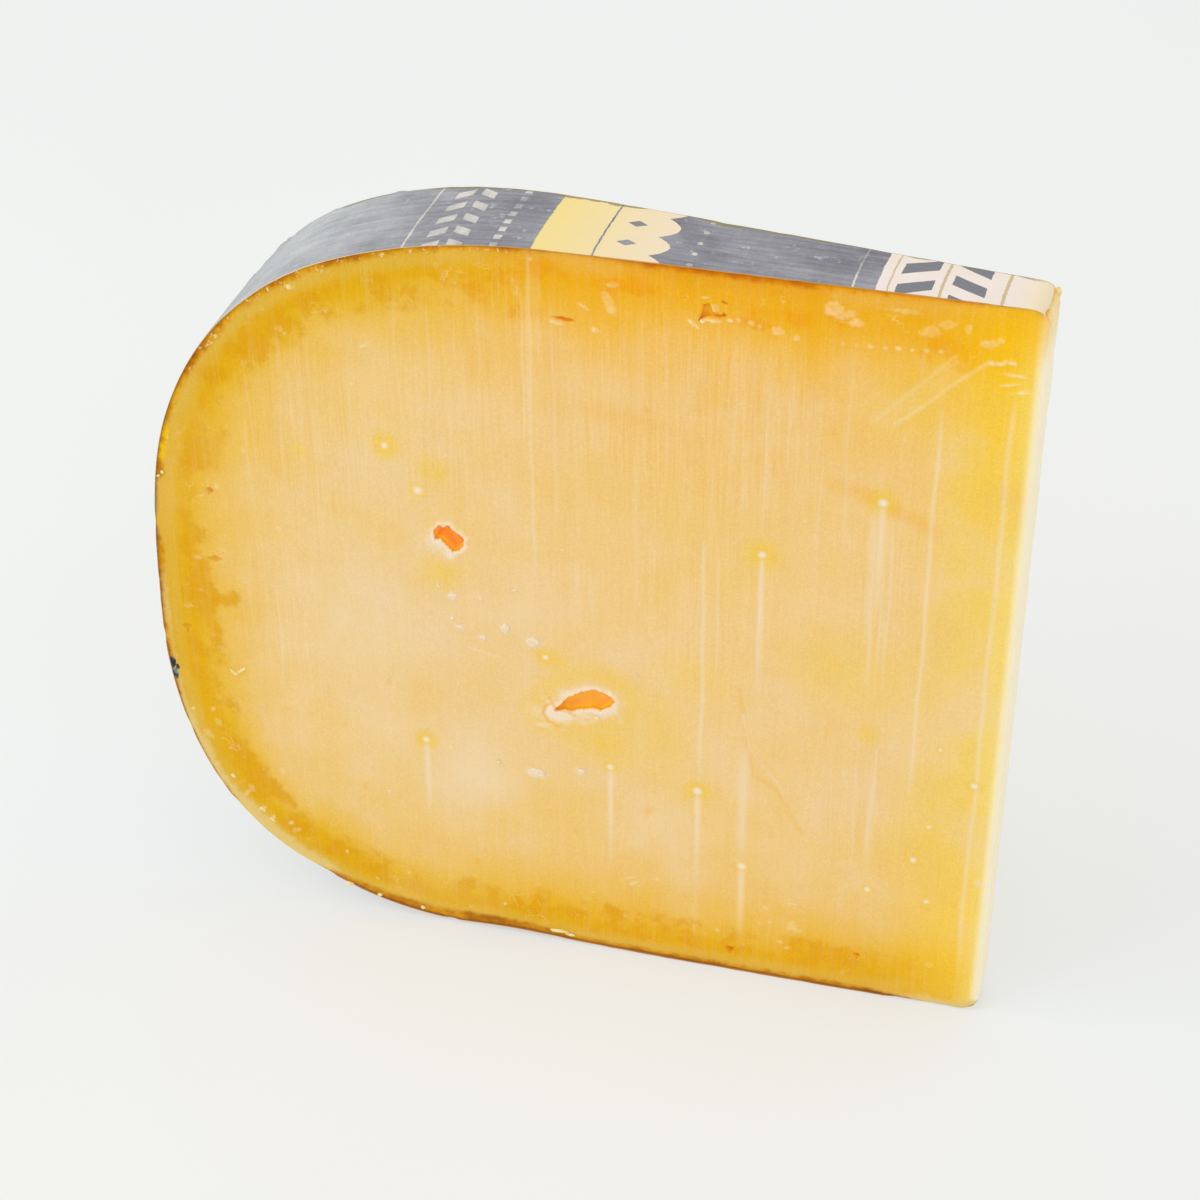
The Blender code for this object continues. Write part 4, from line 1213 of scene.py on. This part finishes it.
def coat_material():
    """Polyvinyl acetate cheese coat, brushed on in thin layers over a printed ring label. It
    dries satin, with the brush's drag across the rim, and shelf boards scuff it paler."""
    made, tree, shader = new_material("brushed_cheese_coat", IOR=1.47, Specular_IOR_Level=0.5)
    node = partial(add, tree)
    place = node("TexCoord").outputs["Object"]
    in_mm = node("VectorMath SCALE", place, Scale=1 / MM)
    spread = node("SeparateXYZ", in_mm)
    out = node("Math SUBTRACT", AXIS_X, spread.outputs["X"])
    turn = node("Math ARCTAN2", spread.outputs["Y"], out)
    reach = node("CombineXYZ", out, spread.outputs["Y"])
    reach = node("VectorMath LENGTH", reach).outputs["Value"]
    edge = node("Attribute from_edge").outputs["Fac"]

    # Print settles into the skin with an edge that is soft by a tenth of a millimetre.
    bleed = node("TexNoise", in_mm, Scale=1 / 0.6, Detail=3.0)
    bleed = node("MapRange", bleed, 0.3, 0.7, -0.06, 0.06)
    ring = node("Math ADD", reach, bleed)

    def repeat(count, slant=0.0, offset=0.0):
        """0 at a motif's middle and 0.5 half way to the next, count of them round the wheel.
        A slant leans them by that part of a motif for each millimetre outward."""
        turns = node("Math MULTIPLY_ADD", turn, count / (2 * math.pi), offset)
        turns = node("Math MULTIPLY_ADD", reach, slant, turns)
        part = node("Math FRACT", turns)
        middle = node("Math SUBTRACT", part, 0.5)
        return node("Math ABSOLUTE", middle)

    def belt(low, high):
        """1 between two radii."""
        above = node("Math GREATER_THAN", ring, low)
        below = node("Math LESS_THAN", ring, high)
        return node("Math MULTIPLY", above, below)

    def leaves(low, high, count, slant, wide):
        """A belt of short slanted strokes."""
        stroke = node("Math LESS_THAN", repeat(count, slant), wide)
        return node("Math MULTIPLY", belt(low, high), stroke)

    # Two ears of short leaves that lean together, and a row of beads, outside the cream ring.
    ears = leaves(128.9, 130.9, 250, 0.16, 0.24)
    beads = leaves(121.7, 122.6, 400, 0.0, 0.27)
    for more in (leaves(125.9, 127.9, 250, -0.16, 0.24), beads, belt(133.2, 133.5)):
        ears = node("Math MAXIMUM", ears, more)

    # The cream ring: scallops on its inner side, a row of lozenges and a thin line.
    arch = node("Math POWER", node("Math MULTIPLY", repeat(144), 2.0), 2.0)
    inner_side = node("Math MULTIPLY_ADD", arch, 2.0, 101.9)
    cream = node("Math GREATER_THAN", ring, inner_side)
    cream = node("Math MULTIPLY", cream, node("Math LESS_THAN", ring, 117.6))
    lozenge_out = node("Math ABSOLUTE", node("Math SUBTRACT", ring, 107.1))
    lozenge = node("Math MULTIPLY_ADD", lozenge_out, 0.5, node("Math MULTIPLY", repeat(144), 4.0))
    on_cream = node("Math LESS_THAN", lozenge, 0.62)
    on_cream = node("Math MAXIMUM", on_cream, belt(110.1, 110.35))

    # Fine rings and beads on the charcoal, and ears of leaves on the chalky middle.
    bead_out = node("Math ABSOLUTE", node("Math SUBTRACT", ring, 98.8))
    bead = node("Math MULTIPLY", repeat(240, 0.0, 0.5), 2.6)
    bead = node("Math ADD", node("Math POWER", bead, 2.0), node("Math POWER", bead_out, 2.0))
    fine_print = node("Math LESS_THAN", bead, 0.13)
    fine_print = node("Math MAXIMUM", fine_print, belt(79.7, 79.95))
    middle = node("Math LESS_THAN", ring, 77.2)
    petals = leaves(71.0, 75.0, 96, 0.11, 0.25)
    petals = node("Math MAXIMUM", petals, leaves(65.0, 69.0, 96, -0.11, 0.25))
    ochre = belt(69.8, 70.15)
    for more in (belt(75.8, 76.0), belt(62.7, 63.1)):
        ochre = node("Math MAXIMUM", ochre, more)

    # Charcoal, dark where it is thick under the label, and greyer toward the rim: partly where boards and
    # hands have rubbed it, partly a painted sheen, the pale room reflected on the rim's curve.
    brushed = node("VectorMath MULTIPLY", in_mm, (1 / 11, 1 / 0.7, 1 / 11))
    drag = node("TexNoise", brushed, Scale=1.0, Detail=4.0, Roughness=0.65)
    cloud = node("TexNoise", in_mm, Scale=1 / 7, Detail=5.0, Roughness=0.6)
    thick = node("Math MULTIPLY_ADD", drag, 0.45, node("Math MULTIPLY", cloud, 0.55))
    charcoal = node("ValToRGB", thick, stops=[(0.36, "6A686F"), (0.5, "86848C"), (0.64, "A09EA5")])
    rubbed = node("VectorMath MULTIPLY", in_mm, (1 / 5, 1 / 0.8, 1 / 4))
    scuff = node("TexNoise", rubbed, Scale=1.0, Detail=5.0, Roughness=0.7)
    scuffed = node("MapRange SMOOTHSTEP", scuff, 0.58, 0.72, 0.0, 0.6)
    rubbed_and_sheen_pale = node("MapRange SMOOTHSTEP", reach, 124.0, 152.0, 0.0, 0.85)
    worn_and_sheen_grey = node("ValToRGB", thick, stops=[(0.36, "9B9FA2"), (0.5, "B4B7B9"), (0.64, "CACCCD")])
    colour = node("Mix RGBA", rubbed_and_sheen_pale, charcoal, worn_and_sheen_grey)
    colour = node("Mix RGBA", scuffed, colour, "B0B6BE")
    flaked = node("TexNoise", in_mm, Scale=1 / 1.9, Detail=4.0, Roughness=0.65)
    flaked = node("MapRange SMOOTHSTEP", flaked, 0.62, 0.70, 0.0, 0.6)
    colour = node("Mix RGBA", flaked, colour, "BEC8CE")
    pocked = node("TexNoise", in_mm, Scale=1 / 0.5, Detail=3.0, Roughness=0.6)
    pocked = node("MapRange", pocked, 0.3, 0.7, 0.90, 1.08)
    colour = node("VectorMath MULTIPLY", colour, pocked)

    # The label is on the wheel's upper side only.
    upper = node("Math GREATER_THAN", spread.outputs["Z"], 50.0)
    whole = node("MapRange", cloud, 0.38, 0.54, 0.25, 0.85)
    print_pale = node("Math MULTIPLY", node("Math MAXIMUM", ears, fine_print), whole)
    print_pale = node("Math MULTIPLY", print_pale, upper)
    colour = node("Mix RGBA", print_pale, colour, "DCD8CC")
    creamy = node("MapRange", reach, 116.0, 104.0, 0.0, 1.0)
    creamy = node("Mix RGBA", creamy, "F0D88A", "EEDAB8")
    creamy = node("Mix RGBA", on_cream, creamy, charcoal)
    colour = node("Mix RGBA", node("Math MULTIPLY", cream, upper), colour, creamy)
    chalky = node("ValToRGB", cloud, stops=[(0.35, "EADDCE"), (0.6, "EEE0D8")])
    chalky = node("Mix RGBA", petals, chalky, "74757C")
    chalky = node("Mix RGBA", node("Math MULTIPLY", ochre, 0.8), chalky, "C2A868")
    colour = node("Mix RGBA", node("Math MULTIPLY", middle, upper), colour, chalky)
    worn = node("MapRange SMOOTHSTEP", scuff, 0.66, 0.76, 0.0, 0.5)
    colour = node("Mix RGBA", worn, colour, "CDD0D2")

    # Where the knife went through, the coat's edge is soaked with fat and takes the colour of
    # the rind beside it.
    stained = node("MapRange", edge, 0.12, 0.04, 0.0, 0.95)
    how_high = node("Math MULTIPLY", spread.outputs["Z"], 1 / WHEEL_HEIGHT)
    colour = node("Mix RGBA", stained, colour, node("ValToRGB", how_high, stops=EDGE_TONES))
    # Beyond the far cut, oil from the paste has crept into the coat's edge in olive patches.
    far_side = node("Math GREATER_THAN", spread.outputs["Y"], 0.0)
    crept = node("Math MULTIPLY_ADD", cloud, -3.2, node("Math ADD", edge, 1.35))
    crept = node("MapRange SMOOTHSTEP", crept, 0.15, -0.1, 0.0, 0.8)
    colour = node("Mix RGBA", node("Math MULTIPLY", crept, far_side), colour, "857A3C")
    low = node("MapRange", spread.outputs["Z"], 6.0, 2.5, 0.0, 0.85)
    low = node("Math MULTIPLY", low, node("MapRange", edge, 1.6, 0.8, 0.0, 1.0))
    colour = node("Mix RGBA", low, colour, "BC7C26")
    # Beside the tip's cut the label has soaked up fat and gone cream.
    soaked = node("MapRange SMOOTHSTEP", reach, 62.0, 58.0, 0.0, 0.85)
    colour = node("Mix RGBA", soaked, colour, "F1DDB0")
    join(tree, colour, shader, "Base Color")

    gloss = node("MapRange", drag, 0.3, 0.7, 0.36, 0.52)
    gloss = node("Math MULTIPLY_ADD", scuffed, 0.25, gloss)
    join(tree, gloss, shader, "Roughness")
    height = node("Math MULTIPLY_ADD", scuff, 0.6, drag)
    bump = node("Bump", Height=height, Strength=0.7, Distance=0.0001)
    join(tree, bump, shader, "Normal")
    return made


# ---------------------------------------------------------------- small pieces


def lump(bm, centre, frame_axes, half, seed, rough, detail=3):
    """One irregular grain: a ball drawn out to its half sizes and chipped at random."""
    made = bmesh.ops.create_icosphere(bm, subdivisions=detail, radius=1.0)
    rng = np.random.default_rng(seed)
    pushes = rng.normal(size=(7, 3))
    pushes /= np.linalg.norm(pushes, axis=1, keepdims=True)
    cuts = rng.uniform(0.62, 0.95, 7)
    for vert in made["verts"]:
        p = np.array(vert.co)
        for direction, limit in zip(pushes, cuts):
            past = max(0.0, float(p @ direction) - limit)
            p = p - rough * past * direction
        p = p * (1 + 0.10 * rough * math.sin(7 * p[0] + seed) * math.cos(6 * p[1] - seed))
        offset = sum((axis * (h * c) for axis, h, c in zip(frame_axes, half, p)), Vector())
        vert.co = centre + offset * MM


def face_axes(side, turn=0.0):
    """Unit directions along the face to the rim, up it and out of it."""
    to_rim = Vector((-math.cos(HALF_ANGLE), side * math.sin(HALF_ANGLE), 0))
    outward = Vector((math.sin(HALF_ANGLE), side * math.cos(HALF_ANGLE), 0))
    up = Vector((0, 0, 1))
    c, s = math.cos(math.radians(turn)), math.sin(math.radians(turn))
    return to_rim * c + up * s, up * c - to_rim * s, outward


def grains(name, rows, side, rough):
    """One mesh of separate grains. Rows: along, up, half along, half up, half out, turn, sunk."""
    bm = bmesh.new()
    for number, (along, up, a, b, out, turn, sunk) in enumerate(rows):
        centre = Vector(on_face(side, along, up, sunk))
        lump(bm, centre, face_axes(side, turn), (a, b, out), 200 + number, rough)
    bmesh.ops.recalc_face_normals(bm, faces=bm.faces)
    mesh = bpy.data.meshes.new(name)
    bm.to_mesh(mesh)
    bm.free()
    return finished(name, mesh, GRAIN_CREASE)


# Loose crumbs, in the same columns as the crystals.
CRUMBS = (
    (103.3, 39.2, 0.75, 0.28, 0.22, 38, 0.06), (102.1, 39.75, 0.85, 0.26, 0.22, -42, 0.06),
    (58.6, 1.65, 1.5, 0.32, 0.25, -3, 0.12), (57.0, 1.35, 0.8, 0.25, 0.25, 10, 0.12),
    (89.1, 3.9, 0.7, 0.28, 0.25, 10, 0.12), (84.7, 2.7, 0.4, 0.28, 0.25, 0, 0.12),
    (78.4, 1.7, 0.35, 0.3, 0.25, 30, 0.12),
    (110.2, 70.5, 0.25, 0.3, 0.2, 0, 0.1), (110.8, 69.9, 0.25, 0.22, 0.2, 0, 0.1),
    (52.9, 41.15, 0.35, 0.3, 0.3, 0, -0.02), (39.9, 103.0, 0.35, 0.22, 0.25, 30, 0.05),
    (90.7, 100.5, 0.4, 0.32, 0.22, 20, 0.08), (101.2, 15.3, 0.7, 0.25, 0.2, 42, 0.1),
    (99.8, 13.6, 0.6, 0.25, 0.2, 40, 0.1), (105.0, 20.6, 0.5, 0.3, 0.2, 50, 0.1),
)


def grain_material(name, tones, grain_size, dull, deep, **settings):
    """One fine-grained stuff. A single noise with lumps of grain_size mm gives its tones, its
    gloss and its relief, which is deep mm high."""
    made, tree, shader = new_material(name, **settings)
    node = partial(add, tree)
    in_mm = node("VectorMath SCALE", node("TexCoord").outputs["Object"], Scale=1 / MM)
    grain = node("TexNoise", in_mm, Scale=1 / grain_size, Detail=3.0)
    join(tree, node("ValToRGB", grain, stops=tones), shader, "Base Color")
    join(tree, node("MapRange", grain, 0.3, 0.7, dull, dull + 0.2), shader, "Roughness")
    join(tree, node("Bump", Height=grain, Strength=0.6, Distance=deep * MM), shader, "Normal")
    return made


def crystal_material():
    """Tyrosine crystals: packed white needles, chalky and dull."""
    tones = [(0.3, "E9CC9C"), (0.52, "EED8B4"), (0.72, "F7EAD2")]
    return grain_material("tyrosine_crystal", tones, 0.2, 0.4, 0.04, IOR=1.5, Specular_IOR_Level=0.3)


def crumb_material():
    """Crumbs that the knife tore from the paste and that dried: ivory and matt."""
    tones = [(0.3, "ECCB70"), (0.5, "F2DC9C"), (0.75, "F6ECC8")]
    return grain_material("dried_crumb", tones, 0.5, 0.5, 0.08, IOR=1.45, Specular_IOR_Level=0.2)


def flake_material():
    """Coat that broke off thick. The broken side was never scuffed, so it stays nearly black,
    and only its high spots are rubbed to slate."""
    tones = [(0.40, "14181A"), (0.5, "2E363A"), (0.6, "76848A")]
    return grain_material("broken_coat", tones, 1.1, 0.35, 0.1, IOR=1.48, Specular_IOR_Level=0.35)


def make_coat_flake():
    """A flake of coat that the knife dragged on to the cut face low on the rim."""
    rows = (
        (111.9, 39.4, 0.5, 1.2, 0.2, 6, 0.19),
        (111.75, 37.5, 0.55, 1.1, 0.2, -8, 0.19),
        (111.4, 38.5, 0.35, 0.8, 0.2, 0, 0.19),
    )
    return grains("coat_flake", rows, FRONT, 0.9)


def make_corner_crumbs():
    """Dried paste that crumbled over the far upper corner of the tip."""
    rng = np.random.default_rng(91)
    axes = (Vector((0, 1, 0)), Vector((0, 0, 1)), Vector((1, 0, 0)))
    bm = bmesh.new()
    for number in range(46):
        drop = rng.uniform(0, 1) ** 1.6
        across = 3.7 - 3.2 * drop * rng.uniform(0, 1) - 0.8 * rng.uniform(0, 1)
        size = rng.uniform(0.3, 0.6) * (1 - 0.4 * drop)
        beyond = AXIS_X - TIP_RADIUS - 0.45 - 0.3 * rng.uniform(0, 1)
        place = (beyond, across, WHEEL_HEIGHT - 1.0 - 8.5 * drop)
        half = (min(0.38, 0.6 * size), size, min(0.5, 0.85 * size))
        lump(bm, Vector(place) * MM, axes, half, 300 + number, 1.0, detail=2)
    mesh = bpy.data.meshes.new("corner_crumbs")
    bm.to_mesh(mesh)
    bm.free()
    return finished("corner_crumbs", mesh, GRAIN_CREASE)


# ---------------------------------------------------------------- floor, light and camera


def make_floor():
    """A pale sweep: flat under the wedge, then curving up into a plain backdrop."""
    low, front, back, high = -0.00004, -1.2, 0.75, 1.6
    bend, half_width, steps = 0.3, 1.8, 12
    profile = [(front, low), (back, low)]
    for step in range(1, steps + 1):
        angle = math.radians(90 * step / steps)
        profile.append((back + bend * math.sin(angle), low + bend * (1 - math.cos(angle))))
    profile.append((back + bend, high))
    bm = bmesh.new()
    rows = [[bm.verts.new((x, y, z)) for y, z in profile] for x in (-half_width, half_width)]
    for i in range(len(profile) - 1):
        bm.faces.new((rows[0][i], rows[1][i], rows[1][i + 1], rows[0][i + 1]))
    mesh = bpy.data.meshes.new("floor")
    bm.to_mesh(mesh)
    bm.free()
    floor = finished("floor", mesh, FLOOR_CREASE)
    made, tree, shader = new_material("back_lit_pale_board", Roughness=0.7, Specular_IOR_Level=0.1)
    shader.inputs["Emission Color"].default_value = linear("FDFFFE")
    shader.inputs["Emission Strength"].default_value = 0.48
    place = add(tree, "TexCoord").outputs["Object"]
    faint = add(tree, "TexNoise", place, Scale=6.0, Detail=2.0)
    colour = add(tree, "ValToRGB", faint, stops=[(0.3, "A4A5A4"), (0.7, "A8A9A8")])
    join(tree, colour, shader, "Base Color")
    floor.data.materials.append(made)


def softbox(name, at, toward, size, watts):
    """A white area light that faces a place."""
    light = bpy.data.lights.new(name, "AREA")
    light.shape = "RECTANGLE"
    light.size, light.size_y = size
    light.energy = watts
    lamp = bpy.data.objects.new(name, light)
    lamp.location = at
    lamp.rotation_euler = (Vector(toward) - Vector(at)).to_track_quat("-Z", "Y").to_euler()
    bpy.context.scene.collection.objects.link(lamp)


def light_the_scene():
    world = bpy.data.worlds.new("soft_white_room")
    world.use_nodes = True
    room = world.node_tree.nodes["Background"]
    room.inputs["Color"].default_value = linear("FFFFFF")
    room.inputs["Strength"].default_value = 0.81
    bpy.context.scene.world = world
    softbox("window", (-0.85, -0.45, 0.75), (0, 0, 0.05), (1.0, 1.0), 4.6)
    softbox("fill", (0.75, -0.75, 0.75), (0, 0, 0.05), (1.0, 1.0), 1.8)
    softbox("overhead", (-0.1, -0.1, 1.25), (0, 0, 0), (1.4, 1.4), 0.8)
    bpy.context.scene.view_settings.view_transform = "Standard"


CAMERA_PLACE = (0.0887, -0.26966, 0.26772)
CAMERA_HEADING, CAMERA_PITCH, CAMERA_TILT = 17.79, 36.853, -0.359
CAMERA_LENS = 82.252


def set_camera():
    """A long lens from above the tip's side of the shown face, turned in degrees."""
    data = bpy.data.cameras.new("camera")
    data.lens = CAMERA_LENS
    data.sensor_width = 36.0
    data.clip_start = 0.01
    camera = bpy.data.objects.new("camera", data)
    turned = (
        Matrix.Rotation(math.radians(CAMERA_HEADING), 4, "Z")
        @ Matrix.Rotation(math.radians(90 - CAMERA_PITCH), 4, "X")
        @ Matrix.Rotation(math.radians(CAMERA_TILT), 4, "Z")
    )
    camera.matrix_world = Matrix.Translation(CAMERA_PLACE) @ turned
    bpy.context.scene.collection.objects.link(camera)
    bpy.context.scene.camera = camera


def seat(piece, material):
    """Gives a finished piece its material and its place on the one body."""
    piece.data.materials.append(material)
    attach(piece, "root")
    return piece


def main():
    cut = paste_material()
    coat = coat_material()
    paste = seat(make_paste(), cut)
    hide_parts("paste")
    shell = seat(make_coat(), coat)
    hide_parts("coat")
    seat(grains("crystals", CRYSTALS, FRONT, 0.8), crystal_material())
    seat(grains("crumbs", CRUMBS, FRONT, 1.0), crumb_material())
    seat(make_corner_crumbs(), bpy.data.materials["dried_crumb"])
    seat(make_coat_flake(), flake_material())
    make_floor()
    light_the_scene()
    set_camera()


main()
